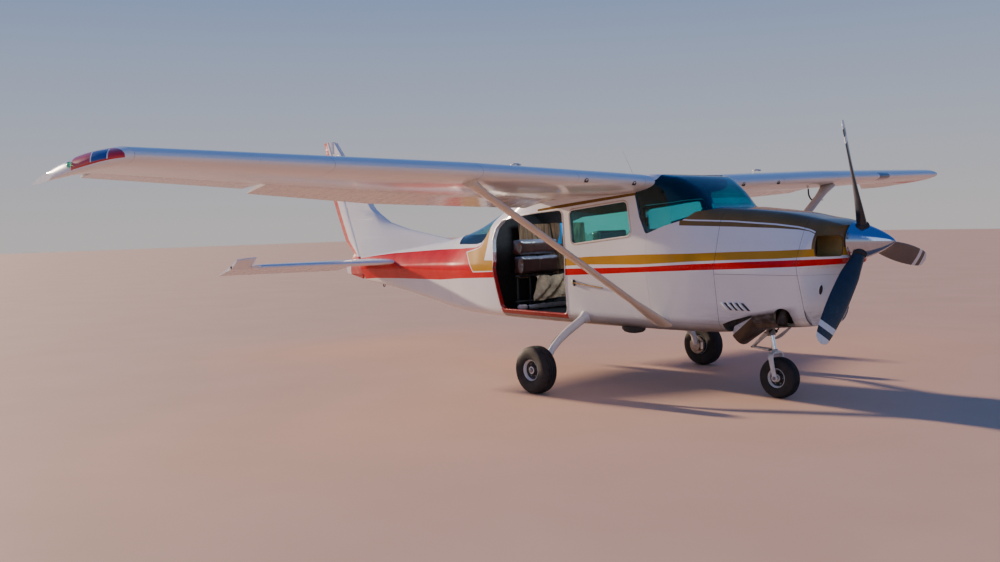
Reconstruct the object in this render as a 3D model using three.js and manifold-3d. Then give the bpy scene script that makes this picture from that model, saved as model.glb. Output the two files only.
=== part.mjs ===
// Six-seat high-wing light aircraft on fixed tricycle gear.
// Frame in millimetres: +X to the nose, +Y to the left wing, +Z up.
// The origin is on the ground, on the symmetry plane, at the middle of the length.
import * as THREE from "three";
import { mergeVertices } from "three/addons/utils/BufferGeometryUtils.js";
import Module from "manifold-3d";

const wasm = await Module();
wasm.setup();

// Clearances
const SEAT_GAP = 0.3;
const MOVING_GAP = 6;
const LEFT = 1;
const RIGHT = -1;
const SIDES = [
  { word: "right", s: RIGHT },
  { word: "left", s: LEFT },
];

// Fuselage sections from tail to nose, each six rounded corners.
// Columns: station x, bottom z, top z, half width at the bottom, at the belt and at the top,
// belt height z, bottom radius, belt radius, top radius.
const FUSELAGE = [
  [-3400, 893, 1215, 45, 85, 40, 1050, 40, 60, 35],
  [-2600, 820, 1285, 105, 180, 90, 1070, 80, 120, 75],
  [-1700, 699, 1385, 190, 300, 165, 1090, 120, 200, 130],
  [-1160, 624, 1462, 265, 385, 215, 1100, 140, 250, 170],
  [-700, 600, 1575, 350, 460, 280, 1110, 150, 250, 210],
  [-120, 598, 1790, 430, 535, 360, 1120, 150, 250, 230],
  [500, 597, 1970, 480, 585, 500, 1130, 150, 250, 130],
  [1200, 597, 2028, 505, 605, 560, 1140, 150, 250, 80],
  [2050, 600, 2028, 500, 600, 550, 1150, 150, 250, 90],
  [2260, 602, 2008, 495, 592, 520, 1160, 150, 250, 150],
  [2450, 605, 1906, 490, 580, 460, 1170, 150, 250, 200],
  [2660, 612, 1716, 476, 562, 420, 1176, 145, 250, 190],
  [2800, 620, 1702, 460, 545, 405, 1180, 140, 250, 190],
  [3300, 680, 1650, 395, 500, 330, 1190, 140, 240, 210],
  [3560, 702, 1602, 300, 475, 285, 1230, 170, 230, 200],
  [3640, 735, 1588, 190, 455, 272, 1330, 130, 200, 190],
  [3700, 800, 1573, 110, 432, 262, 1385, 80, 150, 180],
  [3760, 920, 1555, 70, 385, 245, 1395, 60, 110, 165],
  [3810, 1080, 1535, 50, 300, 215, 1400, 45, 80, 140],
];
const CORNER_STEPS = 3;
const STERN_X = -3400;
const NOSE_X = 3810;
const CABIN_WALL = 40;
const COWL_WALL = 14;
const REAR_BULKHEAD_X = -1135;
const TAIL_WALL = 10;
const REAR_JOINT_X = -130;
const TAILCONE_JOINT_X = -1160;
const FIREWALL_X = 2800;
const BOWL_JOINT_X = 3560;
const BELLY_TOP_Z = 690;
const ROOF_BOTTOM_Z = 1836;

// Openings as side-view outlines of x, z points
const CARGO_OPENING = [
  [985, 698], [1012, 940], [1038, 1140], [1030, 1335], [980, 1728], [606, 1708], [309, 1684],
  [60, 1660], [-91, 1640], [-209, 1557], [-231, 1433], [-135, 1200], [-108, 880], [-90, 720], [-35, 698],
];
const FRONT_WINDOW = [
  [1140, 1399], [1096, 1717], [1835, 1787], [1895, 1477],
];
const WINDSHIELD = [
  [2074, 1483], [1996, 1640], [1939, 1843], [1985, 1935], [2170, 1972], [2190, 2200],
  [3000, 2200], [3000, 1712], [2748, 1705], [2558, 1675], [2448, 1604], [2268, 1554],
];
const REAR_WINDOW = [
  [-1000, 1380], [-560, 1386], [-455, 1405], [-400, 1460], [-345, 1545], [-300, 1620],
  [-130, 1745], [0, 1830], [40, 2200], [-1000, 2200],
];
const CREW_DOOR = [
  [1075, 722], [1058, 1760], [1885, 1812], [1940, 1640], [2034, 1455], [2053, 1400], [2053, 722],
];
const LEFT_REAR_WINDOW = [
  [-60, 1330], [-30, 1570], [250, 1660], [1000, 1720], [1010, 1390], [300, 1340],
];
const DOOR_GAP = 6;
const GLASS_GAP = 0.4;
const GLASS_THICKNESS = 8;
const GLASS_INSET = 3;

// Wing: section y, leading edge x, leading edge z, chord, incidence to the ground in degrees
const WING = [
  { y: 520, x: 2160, z: 1950, chord: 1626, twist: 4.3 },
  { y: 2540, x: 2150, z: 2022, chord: 1626, twist: 4.3 },
  { y: 5200, x: 1950, z: 2100, chord: 1130, twist: 3.3 },
];
// Wing tip cap: sections outboard of the last wing section, drooped to the rear
const WING_TIP = [
  { y: 5200.3, x: 1950, z: 2100, chord: 1130, twist: 3.3 },
  { y: 5330, x: 1800, z: 2082, chord: 1010, twist: 4.4 },
  { y: 5420, x: 1500, z: 2046, chord: 740, twist: 5.5 },
  { y: 5460, x: 1180, z: 2002, chord: 440, twist: 5.5 },
];
const AIRFOIL_CAMBER = 0.02;
const AIRFOIL_CAMBER_AT = 0.4;
const AIRFOIL_THICKNESS = 0.12;
const AIRFOIL_STEPS = 12;
// Trailing surfaces of the wing: span from and to, hinge at this part of the chord, rest droop
const FLAP = { from: 660, to: 3800, hinge: 0.745, droop: 10 };
const AILERON = { from: 3830, to: 5150, hinge: 0.77, droop: 4 };
const HINGE_BOSS_RADIUS = 12;

// Tail
const STABILIZER = {
  z: 1150, rootY: 20, tipY: 1725, rootLeadX: -2430, tipLeadX: -3040, hingeX: -3330,
  rootThickness: 88, tipThickness: 60,
};
const ELEVATOR = { droop: 17, rootChord: 440, tipChord: 365, tipY: 1980, hornLead: 230, hornRise: 14 };
const RUDDER_HINGE = { lowX: -3374, lowZ: 952, highX: -4120, highZ: 2600 };
const HORN_BOTTOM_Z = 2625;

// Landing gear
const MAIN_WHEEL = { x: 1288, y: 1240, z: 249, tyreRadius: 222.5, tyreWidth: 160, rimRadius: 98 };
const NOSE_WHEEL = { x: 3088, y: 0, z: 206.5, tyreRadius: 180, tyreWidth: 127, rimRadius: 86 };
const LEG_LINE = [
  [1225, 470, 700], [1231, 800, 536], [1286, 1035, 408], [1288, 1112, 262],
];
const LEG_RADIUS = { inner: 44, outer: 27 };

// Propeller
const PROPELLER = { x: 3905, z: 1400, radius: 1016 };
// Spinner: columns station x, radius
const SPINNER = [
  [3820, 156], [3860, 152], [3900, 142], [3960, 120], [4040, 86], [4120, 42], [4150, 20], [4169, 0],
];
const BLADE_ANGLES = [
  { name: "blade_upper", degrees: -19 },
  { name: "blade_right", degrees: 101 },
  { name: "blade_lower", degrees: 221 },
];

// Wing strut: lower end on the fuselage, upper end under the wing
const STRUT = { low: [2170, 580, 725], high: [2000, 2540, 1925], chord: 118, thick: 44 };

const paint = (color, roughness = 0.35, metalness = 0) =>
  new THREE.MeshStandardMaterial({ color, roughness, metalness });
const WHITE = paint(0xe8e6e2);
const RED = paint(0xb3121d);
const GOLD = paint(0xa8791f, 0.35, 0.3);
const BLACK = paint(0x151518, 0.5);
const RUBBER = paint(0x17181a, 0.85);
const STEEL = paint(0x9a9da0, 0.35, 0.8);
const POLISHED = paint(0xd5d8dc, 0.15, 1);
const GLASS = new THREE.MeshStandardMaterial({
  color: 0x2f8f92, roughness: 0.05, transparent: true, opacity: 0.5,
});
const LEATHER = paint(0x3a2420, 0.5);
const CLOTH = paint(0x8a765b, 0.9);
const INTERIOR = paint(0x2a2624, 0.8);

// The tables below are drawn from a datum that is moved to the middle of the length and to the ground
const DATUM = { x: 83, z: -26.5 };

const aircraft = new THREE.Group();
aircraft.position.set(DATUM.x, 0, DATUM.z);

const radians = THREE.MathUtils.degToRad;
const lerp = THREE.MathUtils.lerp;

// Solids

function solidFromArrays(points, triangles) {
  const build = (list) =>
    new wasm.Manifold(
      new wasm.Mesh({
        numProp: 3,
        vertProperties: new Float32Array(points.flat()),
        triVerts: new Uint32Array(list),
      }),
    );
  const made = build(triangles);
  if (made.volume() >= 0) return made;
  const turned = [];
  for (let i = 0; i < triangles.length; i += 3) {
    turned.push(triangles[i], triangles[i + 2], triangles[i + 1]);
  }
  return build(turned);
}

function solidFromGeometry(geometry, matrix) {
  const plain = geometry.clone();
  plain.deleteAttribute("normal");
  plain.deleteAttribute("uv");
  if (matrix) plain.applyMatrix4(matrix);
  const merged = mergeVertices(plain, 1e-3);
  const array = merged.getAttribute("position").array;
  const points = [];
  for (let i = 0; i < array.length; i += 3) {
    points.push([array[i], array[i + 1], array[i + 2]]);
  }
  return solidFromArrays(points, [...merged.index.array]);
}

// A closed solid through rings of equally many points
function loft(rings) {
  const count = rings[0].length;
  const points = rings.flat();
  const triangles = [];
  for (let ring = 0; ring + 1 < rings.length; ring++) {
    for (let i = 0; i < count; i++) {
      const a = ring * count + i;
      const b = ring * count + ((i + 1) % count);
      triangles.push(a, b, b + count, a, b + count, a + count);
    }
  }
  const last = (rings.length - 1) * count;
  for (const face of capTriangles(rings[0])) {
    triangles.push(face[0], face[2], face[1]);
  }
  for (const face of capTriangles(rings[rings.length - 1])) {
    triangles.push(last + face[0], last + face[1], last + face[2]);
  }
  return solidFromArrays(points, triangles);
}

// Triangles of a flat ring in the ring's own turning direction
function capTriangles(ring) {
  const spread = [0, 1, 2].map((axis) => {
    const values = ring.map((p) => p[axis]);
    return Math.max(...values) - Math.min(...values);
  });
  const drop = spread.indexOf(Math.min(...spread));
  const [u, v] = [0, 1, 2].filter((axis) => axis !== drop);
  const flat = ring.map((p) => new THREE.Vector2(p[u], p[v]));
  const ringTurn = THREE.ShapeUtils.area(flat) > 0;
  return THREE.ShapeUtils.triangulateShape(flat, []).map(([a, b, c]) => {
    const faceTurn = THREE.ShapeUtils.area([flat[a], flat[b], flat[c]]) > 0;
    return faceTurn === ringTurn ? [a, b, c] : [a, c, b];
  });
}

function box(low, high) {
  const size = high.map((v, i) => v - low[i]);
  const middle = high.map((v, i) => (v + low[i]) / 2);
  return solidFromGeometry(
    new THREE.BoxGeometry(...size),
    new THREE.Matrix4().makeTranslation(...middle),
  );
}

// A side-view outline of x, z points stretched from y0 to y1
function sidePrism(outline, y0, y1) {
  const ring = (y) => outline.map(([x, z]) => [x, y, z]);
  return loft([ring(y0), ring(y1)]);
}

// A plan-view outline of x, y points stretched from z0 to z1
function planPrism(outline, z0, z1) {
  const ring = (z) => outline.map(([x, y]) => [x, y, z]);
  return loft([ring(z0), ring(z1)]);
}

function along(from, to) {
  const a = new THREE.Vector3(...from);
  const b = new THREE.Vector3(...to);
  const turn = new THREE.Quaternion().setFromUnitVectors(
    new THREE.Vector3(0, 1, 0),
    b.clone().sub(a).normalize(),
  );
  return new THREE.Matrix4().compose(a.clone().add(b).multiplyScalar(0.5), turn, new THREE.Vector3(1, 1, 1));
}

function rod(from, to, radius, sides = 16) {
  const length = new THREE.Vector3(...from).distanceTo(new THREE.Vector3(...to));
  return solidFromGeometry(
    new THREE.CylinderGeometry(radius, radius, length, sides),
    along(from, to),
  );
}

// A profile of distance, radius points turned about the line through centre along axis
function turned(profile, centre, axis, sides, startAngle = 0) {
  const lathe = new THREE.LatheGeometry(
    profile.map(([d, r]) => new THREE.Vector2(r, d)),
    sides,
    startAngle,
  );
  const turn = new THREE.Quaternion().setFromUnitVectors(
    new THREE.Vector3(0, 1, 0),
    new THREE.Vector3(...axis).normalize(),
  );
  const place = new THREE.Matrix4().compose(
    new THREE.Vector3(...centre), turn, new THREE.Vector3(1, 1, 1),
  );
  return solidFromGeometry(lathe, place);
}

function add(name, solid, material) {
  const made = solid.getMesh();
  const geometry = new THREE.BufferGeometry();
  geometry.setAttribute("position", new THREE.BufferAttribute(Float32Array.from(made.vertProperties), 3));
  geometry.setIndex(new THREE.BufferAttribute(Uint32Array.from(made.triVerts), 1));
  geometry.computeVertexNormals();
  const mesh = new THREE.Mesh(geometry, material);
  mesh.name = name;
  aircraft.add(mesh);
  return solid;
}

// Outlines

// Rounds each corner [u, v, radius] of a polygon with an arc of equal steps
function rounded(corners, steps = CORNER_STEPS) {
  const out = [];
  corners.forEach(([u, v, radius], i) => {
    const here = new THREE.Vector2(u, v);
    const before = new THREE.Vector2(...corners.at(i - 1).slice(0, 2)).sub(here);
    const after = new THREE.Vector2(...corners[(i + 1) % corners.length].slice(0, 2)).sub(here);
    const cosine = before.dot(after) / (before.length() * after.length());
    const half = Math.acos(THREE.MathUtils.clamp(cosine, -1, 1)) / 2;
    const reach = Math.min(radius / Math.tan(half), before.length() * 0.49, after.length() * 0.49);
    const p = here.clone().add(before.setLength(reach));
    const q = here.clone().add(after.setLength(reach));
    const r = reach * Math.tan(half);
    const toCentre = before.clone().normalize().add(after.clone().normalize()).normalize();
    const centre = here.clone().add(toCentre.multiplyScalar(r / Math.sin(half)));
    const start = Math.atan2(p.y - centre.y, p.x - centre.x);
    let sweep = Math.atan2(q.y - centre.y, q.x - centre.x) - start;
    if (sweep > Math.PI) sweep -= 2 * Math.PI;
    if (sweep < -Math.PI) sweep += 2 * Math.PI;
    for (let k = 0; k <= steps; k++) {
      const angle = start + (sweep * k) / steps;
      out.push([centre.x + r * Math.cos(angle), centre.y + r * Math.sin(angle)]);
    }
  });
  return out;
}

// Moves each edge of an outline outwards by a distance
function grown(outline, distance) {
  const area = THREE.ShapeUtils.area(outline.map(([u, v]) => new THREE.Vector2(u, v)));
  const way = area > 0 ? 1 : -1;
  return outline.map((here, i) => {
    const before = outline.at(i - 1);
    const after = outline[(i + 1) % outline.length];
    const n1 = new THREE.Vector2(here[1] - before[1], before[0] - here[0]).normalize();
    const n2 = new THREE.Vector2(after[1] - here[1], here[0] - after[0]).normalize();
    const mean = n1.clone().add(n2).normalize();
    const scale = (way * distance) / Math.max(0.3, mean.dot(n1));
    return [here[0] + mean.x * scale, here[1] + mean.y * scale];
  });
}

const roundedOutline = (outline, radius) =>
  rounded(outline.map(([u, v]) => [u, v, radius]), 3);

// Fuselage

// The section ring of one row of the table, moved inwards by a wall thickness
function fuselageRing([x, low, high, bottom, belt, top, beltZ, r1, r2, r3], wall) {
  const corners = [
    [-(bottom - wall), low + wall, Math.max(5, r1 - wall)],
    [bottom - wall, low + wall, Math.max(5, r1 - wall)],
    [belt - wall, beltZ, r2],
    [top - wall, high - wall, Math.max(5, r3 - wall)],
    [-(top - wall), high - wall, Math.max(5, r3 - wall)],
    [-(belt - wall), beltZ, r2],
  ];
  return rounded(corners).map(([y, z]) => [x, y, z]);
}

// The fuselage form between two stations, moved inwards by a wall thickness
function fuselage(wall, fromX = STERN_X, toX = NOSE_X) {
  const rows = FUSELAGE.filter(([x]) => x >= fromX && x <= toX);
  return loft(rows.map((row) => fuselageRing(row, wall)));
}
const slab = (x0, x1, z0 = -100, z1 = 4000, y0 = -7000, y1 = 7000) => box([x0, y0, z0], [x1, y1, z1]);

const outer = fuselage(0);
const outerGrown = fuselage(-SEAT_GAP);
const cabinHollow = fuselage(CABIN_WALL, TAILCONE_JOINT_X, FIREWALL_X).intersect(
  slab(REAR_BULKHEAD_X, FIREWALL_X + 1),
);
const cabinSkin = outer.subtract(cabinHollow);
const cabinInside = fuselage(CABIN_WALL + SEAT_GAP, TAILCONE_JOINT_X, FIREWALL_X);
const glassLayer = fuselage(GLASS_INSET, TAILCONE_JOINT_X, FIREWALL_X).subtract(
  fuselage(GLASS_INSET + GLASS_THICKNESS, TAILCONE_JOINT_X, FIREWALL_X),
);

const HALF = 1000;
const WINDOW_CORNER = 45;
const DOOR_CORNER = 60;
const sideCut = (outline, y0, y1, gap = 0) => sidePrism(grown(outline, gap), y0, y1);
const frontWindow = roundedOutline(FRONT_WINDOW, WINDOW_CORNER);
const leftRearWindow = roundedOutline(LEFT_REAR_WINDOW, WINDOW_CORNER);
const crewDoorOutline = roundedOutline(CREW_DOOR, DOOR_CORNER);
const cargoOutline = roundedOutline(CARGO_OPENING, DOOR_CORNER);

const g = SEAT_GAP / 2;
const cabinZone = slab(REAR_JOINT_X + g, FIREWALL_X - g);
const sideZone = cabinZone.intersect(slab(-5000, 5000, BELLY_TOP_Z + g, ROOF_BOTTOM_Z - g));
const windshieldCut = sideCut(WINDSHIELD, -HALF, HALF);
const rearWindowCut = sideCut(REAR_WINDOW, -HALF, HALF);

// Cabin panels
add("cabin_belly", cabinSkin.intersect(cabinZone).intersect(slab(-5000, 5000, 0, BELLY_TOP_Z - g)), WHITE);
add(
  "cabin_roof",
  cabinSkin
    .intersect(cabinZone)
    .intersect(slab(-5000, 5000, ROOF_BOTTOM_Z + g, 4000))
    .subtract(windshieldCut)
    .subtract(rearWindowCut),
  WHITE,
);

const sideShell = cabinSkin.intersect(sideZone).subtract(windshieldCut).subtract(rearWindowCut);
add(
  "cabin_side_right",
  sideShell
    .intersect(slab(-5000, 5000, 0, 4000, -7000, -g))
    .subtract(sideCut(cargoOutline, -HALF, 0))
    .subtract(sideCut(frontWindow, -HALF, 0)),
  WHITE,
);

// Crew door on the left, hung on two knuckles at its front edge
const DOOR_HINGE = { x: 2058, y: 612, radius: 9 };
const DOOR_KNUCKLES = [
  { low: 985, high: 1015 },
  { low: 1290, high: 1320 },
];
const LUG = { frameX: 2095, doorX: 2012, rootY: 560, height: 30 };

function hingeLug(fromX, low, high) {
  const { x, y, radius } = DOOR_HINGE;
  const way = Math.sign(fromX - x);
  const plate = planPrism(
    [
      [fromX, LUG.rootY], [fromX, y - 4], [x + way * 4, y + radius], [x, y + radius],
      [x, y - radius], [x + way * 8, y - radius - 6], [x + way * 16, LUG.rootY],
    ],
    low,
    high,
  );
  return plate.add(rod([x, y, low], [x, y, high], radius, 16));
}

let sideLeft = sideShell
  .intersect(slab(-5000, 5000, 0, 4000, g, 7000))
  .subtract(sideCut(leftRearWindow, 0, HALF))
  .subtract(sideCut(crewDoorOutline, 0, HALF));
let door = cabinSkin
  .intersect(sideCut(crewDoorOutline, 300, HALF, -DOOR_GAP))
  .subtract(sideCut(frontWindow, 0, HALF));
for (const { low, high } of DOOR_KNUCKLES) {
  sideLeft = sideLeft.add(hingeLug(LUG.frameX, low, high).subtract(cabinHollow));
  door = door.add(hingeLug(LUG.doorX, high + SEAT_GAP, high + LUG.height).subtract(cabinHollow));
}
add("cabin_side_left", sideLeft, WHITE);
add("crew_door", door, WHITE);

add(
  "rear_fuselage",
  cabinSkin
    .intersect(slab(TAILCONE_JOINT_X + g, REAR_JOINT_X - g))
    .subtract(rearWindowCut)
    .subtract(sideCut(cargoOutline, -HALF, 0)),
  WHITE,
);

// Glass
const glassIn = (outline, y0, y1) => glassLayer.intersect(sideCut(outline, y0, y1, -GLASS_GAP));
add("windshield", glassIn(WINDSHIELD, -HALF, HALF), GLASS);
add("rear_window", glassIn(REAR_WINDOW, -HALF, HALF), GLASS);
add("window_right_front", glassIn(frontWindow, -HALF, 0), GLASS);
add("window_left_rear", glassIn(leftRearWindow, 0, HALF), GLASS);
add("crew_door_window", glassIn(frontWindow, 0, HALF), GLASS);

// Floor, firewall and panel inside the cabin
const FLOOR = { low: 630, high: 672, rearX: -900, frontX: 2760 };
const WALL_PLATE = 26;
add("cabin_floor", cabinInside.intersect(slab(FLOOR.rearX, FLOOR.frontX, FLOOR.low, FLOOR.high)), INTERIOR);
add(
  "firewall",
  cabinInside.intersect(slab(FIREWALL_X - WALL_PLATE, FIREWALL_X - g, 0, 1664)),
  STEEL,
);
const PANEL_SHAPE = [
  [2330, 1250], [2318, 1590], [2470, 1634], [2772, 1690], [2772, 1640], [2400, 1560], [2380, 1250],
];
add("instrument_panel", cabinInside.intersect(sidePrism(PANEL_SHAPE, -HALF, HALF)), BLACK);

// Tail cone
const hingeSlope = (RUDDER_HINGE.highX - RUDDER_HINGE.lowX) / (RUDDER_HINGE.highZ - RUDDER_HINGE.lowZ);
const hingeX = (z) => RUDDER_HINGE.lowX + (z - RUDDER_HINGE.lowZ) * hingeSlope;
const RUDDER_NOSE = 40;
const FIN_END_GAP = RUDDER_NOSE / Math.cos(Math.atan(hingeSlope)) + MOVING_GAP + 2;
const sternCut = sidePrism(
  [
    [hingeX(0) + FIN_END_GAP, 0], [hingeX(4000) + FIN_END_GAP, 4000], [-9000, 4000], [-9000, 0],
  ],
  -HALF,
  HALF,
);
const TORQUE_TUBE = { radius: 14, bearing: 14.4 };
const tubeBore = rod(
  [STABILIZER.hingeX, -200, STABILIZER.z],
  [STABILIZER.hingeX, 200, STABILIZER.z],
  TORQUE_TUBE.bearing,
  16,
);
const STERN_BLOCK_X = -3150;
const tailHollow = fuselage(TAIL_WALL, STERN_X, TAILCONE_JOINT_X).intersect(
  slab(STERN_BLOCK_X, TAILCONE_JOINT_X + 1),
);
const tailCone = outer
  .intersect(slab(STERN_X, TAILCONE_JOINT_X - g))
  .subtract(tailHollow)
  .subtract(sternCut)
  .subtract(tubeBore);

// Fin: level rings from the outline of its leading edge to the rudder gap
// Columns: height z, leading edge x, thickness
const FIN_LEVELS = [
  [1180, -1250, 110],
  [1405, -1330, 104],
  [1560, -2350, 100],
  [1655, -2760, 96],
  [1830, -3110, 90],
  [2600, -3833, 66],
  [2768, -3990, 58],
];
const FIN_TAPER = 620;
const FIN_WALL = 8;
function finRing([z, lead, thickness], wall = 0) {
  const rear = Math.min(hingeX(z) + FIN_END_GAP, lead - 60) + wall;
  const full = Math.min(rear + FIN_TAPER, lead - 40);
  const half = thickness / 2 - wall;
  const nose = Math.min(half, 12) - wall / 2;
  const side = [[rear, half * 0.8], [full, half], [lead - 20 - wall, nose], [lead - wall * 2, nose * 0.4]];
  const other = side.map(([x, y]) => [x, -y]).reverse();
  return [...side, ...other].map(([x, y]) => [x, y, z]);
}
const HORN_NOSE_X = -4045;
const hornCut = box(
  [-5000, -HALF, HORN_BOTTOM_Z - MOVING_GAP],
  [HORN_NOSE_X + MOVING_GAP + 10, HALF, 4000],
);
const finHollow = loft(FIN_LEVELS.slice(1, 6).map((row) => finRing(row, FIN_WALL))).intersect(
  slab(-5000, 5000, 0, HORN_BOTTOM_Z - 60),
);
const fin = loft(FIN_LEVELS.map((row) => finRing(row)))
  .subtract(finHollow)
  .subtract(outerGrown)
  .subtract(hornCut);

// Rudder: level rings round the hinge line
function rudderRing(z, trailX, trailHalf = 3) {
  const x0 = hingeX(z);
  const deep = RUDDER_NOSE / Math.cos(Math.atan(hingeSlope));
  const half = RUDDER_NOSE * (1 - 0.35 * THREE.MathUtils.clamp((z - 1000) / 1700, 0, 1));
  const nose = [];
  for (let k = 0; k <= 6; k++) {
    const angle = Math.PI / 2 - (Math.PI * k) / 6;
    nose.push([x0 + deep * Math.cos(angle) * (half / RUDDER_NOSE), half * Math.sin(angle)]);
  }
  return [...nose, [trailX, -trailHalf], [trailX, trailHalf]].map(([x, y]) => [x, y, z]);
}
// Columns: height z, trailing edge x, half thickness there
const RUDDER_LEVELS = [
  [968, -3800, 12],
  [1045, -3838, 12],
  [1120, -3790, 6],
  [1235, -3640, 3],
  [1337, -3758, 3],
  [1429, -3858, 3],
  [1801, -4049, 3],
  [1964, -4124, 3],
  [2600, -4275, 3],
  [2785, -4335, 3],
];
const RUDDER_FOOT = [[-3440, 975], [-3440, 908], [-3826, 980], [-3836, 1040]];
// The rudder's balance horn in plan: x, half width from its nose to its rear
const HORN_HALF = [[HORN_NOSE_X, 4], [-4090, 20], [-4200, 22], [-4290, 5]];
const HORN_TOP_Z = 2785;
const hornPlan = [...HORN_HALF, ...HORN_HALF.map(([x, y]) => [x, -y]).reverse()];
const horn = planPrism(hornPlan, HORN_BOTTOM_Z, HORN_TOP_Z);
const along3 = (a, b, t) => a.map((v, i) => v + (b[i] - v) * t);
// A pair of round bosses face to face on an axis: the moving one and the fixed one
function bosses(end, inward, reach = 2.8, fixed = 30) {
  const way = new THREE.Vector3(...end).sub(new THREE.Vector3(...inward)).normalize();
  const at = (d) => new THREE.Vector3(...end).addScaledVector(way, d).toArray();
  return {
    moving: rod(at(-24), at(reach), HINGE_BOSS_RADIUS, 16),
    fixed: rod(at(reach + SEAT_GAP), at(fixed), HINGE_BOSS_RADIUS, 16),
  };
}
const rudderTop = [hingeX(2600), 0, 2600];
const rudderLow = [hingeX(968), 0, 968];
const rudderHeelBoss = bosses(rudderLow, rudderTop, 9, 46);
const rudder = loft(RUDDER_LEVELS.map(([z, x, half]) => rudderRing(z, x, half)))
  .add(horn)
  .add(sidePrism(RUDDER_FOOT, -12, 12))
  .add(rudderHeelBoss.moving);
// Heel bracket of the tail cone that carries the rudder's lower bearing
const heel = box([rudderLow[0] - 24, -16, 926], [-3300, 16, 944]).add(rudderHeelBoss.fixed);
add("tailcone", tailCone.add(heel), WHITE);
add("rudder", rudder, WHITE);
add("fin", fin, WHITE);

// Tailplane
function symmetricRing(y, lead, rear, thickness, rearHalf) {
  const chord = lead - rear;
  const side = [
    [0, 0.16], [0.04, 0.46], [0.14, 0.82], [0.35, 1], [0.7, 0.9],
  ].map(([u, v]) => [lead - u * chord, (v * thickness) / 2]);
  const upper = [...side, [rear, rearHalf]];
  const lower = upper.map(([x, v]) => [x, -v]).reverse();
  return [...upper, ...lower].map(([x, v]) => [x, y, STABILIZER.z + v]);
}
const ELEVATOR_NOSE = { root: 30, tip: 22 };
const stabilizerRear = STABILIZER.hingeX + ELEVATOR_NOSE.root + MOVING_GAP;
const STABILIZER_WALL = 8;
for (const { word, s } of SIDES) {
  const form = (wall, endY) => {
    const { rootY, tipY, rootLeadX, tipLeadX, rootThickness, tipThickness } = STABILIZER;
    const part = (endY - rootY) / (tipY - rootY);
    const lead = lerp(rootLeadX, tipLeadX, part) - wall * 2;
    const rear = stabilizerRear + wall;
    const endThickness = lerp(rootThickness, tipThickness, part) - wall * 2;
    const endRearHalf = lerp(ELEVATOR_NOSE.root, ELEVATOR_NOSE.tip, part) - wall;
    const rootRearHalf = ELEVATOR_NOSE.root - wall;
    return loft([
      symmetricRing(s * rootY, rootLeadX - wall * 2, rear, rootThickness - wall * 2, rootRearHalf),
      symmetricRing(s * endY, lead, rear, endThickness, endRearHalf),
    ]);
  };
  const hollow = form(STABILIZER_WALL, STABILIZER.tipY - 40);
  add("stabilizer_" + word, form(0, STABILIZER.tipY).subtract(hollow).subtract(outerGrown), WHITE);
}

// A moving surface's section: a round nose on the hinge point, tapered to the trailing edge
function surfaceRing(hinge, nose, chordBack, droop, y, trailHalf = 3) {
  const out = [];
  for (let k = 0; k <= 6; k++) {
    const angle = Math.PI / 2 - (Math.PI * k) / 6;
    out.push([nose * Math.cos(angle), nose * Math.sin(angle)]);
  }
  out.push([-chordBack, -trailHalf], [-chordBack, trailHalf]);
  const c = Math.cos(radians(droop));
  const d = Math.sin(radians(droop));
  return out.map(([u, v]) => [hinge[0] + u * c - v * d, y, hinge[1] + u * d + v * c]);
}

const elevatorHinge = [STABILIZER.hingeX, STABILIZER.z];
let elevator = rod(
  [STABILIZER.hingeX, -150, STABILIZER.z],
  [STABILIZER.hingeX, 150, STABILIZER.z],
  TORQUE_TUBE.radius,
  16,
);
const ELEVATOR_INNER = 110;
// The cut-out that lets the rudder swing: plan x, y points of one side
const ELEVATOR_NOTCH = [[-3380, 80], [-3380, ELEVATOR_INNER + 10], [-3900, 300], [-3900, 80]];
const ELEVATOR_HORN_HALF = 19;
for (const { s } of SIDES) {
  const half = loft([
    surfaceRing(elevatorHinge, ELEVATOR_NOSE.root, ELEVATOR.rootChord, ELEVATOR.droop, s * ELEVATOR_INNER),
    surfaceRing(elevatorHinge, ELEVATOR_NOSE.tip, ELEVATOR.tipChord, ELEVATOR.droop, s * ELEVATOR.tipY),
  ]);
  const notch = planPrism(ELEVATOR_NOTCH.map(([x, y]) => [x, s * y]), 0, 3000);
  const c = Math.cos(radians(ELEVATOR.droop + ELEVATOR.hornRise));
  const d = Math.sin(radians(ELEVATOR.droop + ELEVATOR.hornRise));
  const hornRing = (y, lead) => {
    const top = [[-20, ELEVATOR_HORN_HALF], [lead - 40, ELEVATOR_HORN_HALF * 0.8], [lead, 3]];
    const bottom = top.map(([u, v]) => [u, -v]);
    return [bottom[0], ...top, bottom[2], bottom[1]].map(([u, v]) => [
      STABILIZER.hingeX + u * c - v * d,
      s * y,
      STABILIZER.z + u * d + v * c,
    ]);
  };
  const elevatorHorn = loft([
    hornRing(STABILIZER.tipY + 10, ELEVATOR.hornLead + 10),
    hornRing(ELEVATOR.tipY, ELEVATOR.hornLead - 30),
  ]);
  elevator = elevator.add(half.subtract(notch)).add(elevatorHorn);
}
add("elevator", elevator, WHITE);

// Wings
function wingAt(y) {
  const i = Math.max(0, Math.min(WING.length - 2, WING.findIndex((row) => row.y >= y) - 1));
  const [a, b] = [WING[i], WING[i + 1]];
  const t = (y - a.y) / (b.y - a.y);
  return {
    y,
    x: lerp(a.x, b.x, t),
    z: lerp(a.z, b.z, t),
    chord: lerp(a.chord, b.chord, t),
    twist: lerp(a.twist, b.twist, t),
  };
}
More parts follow.
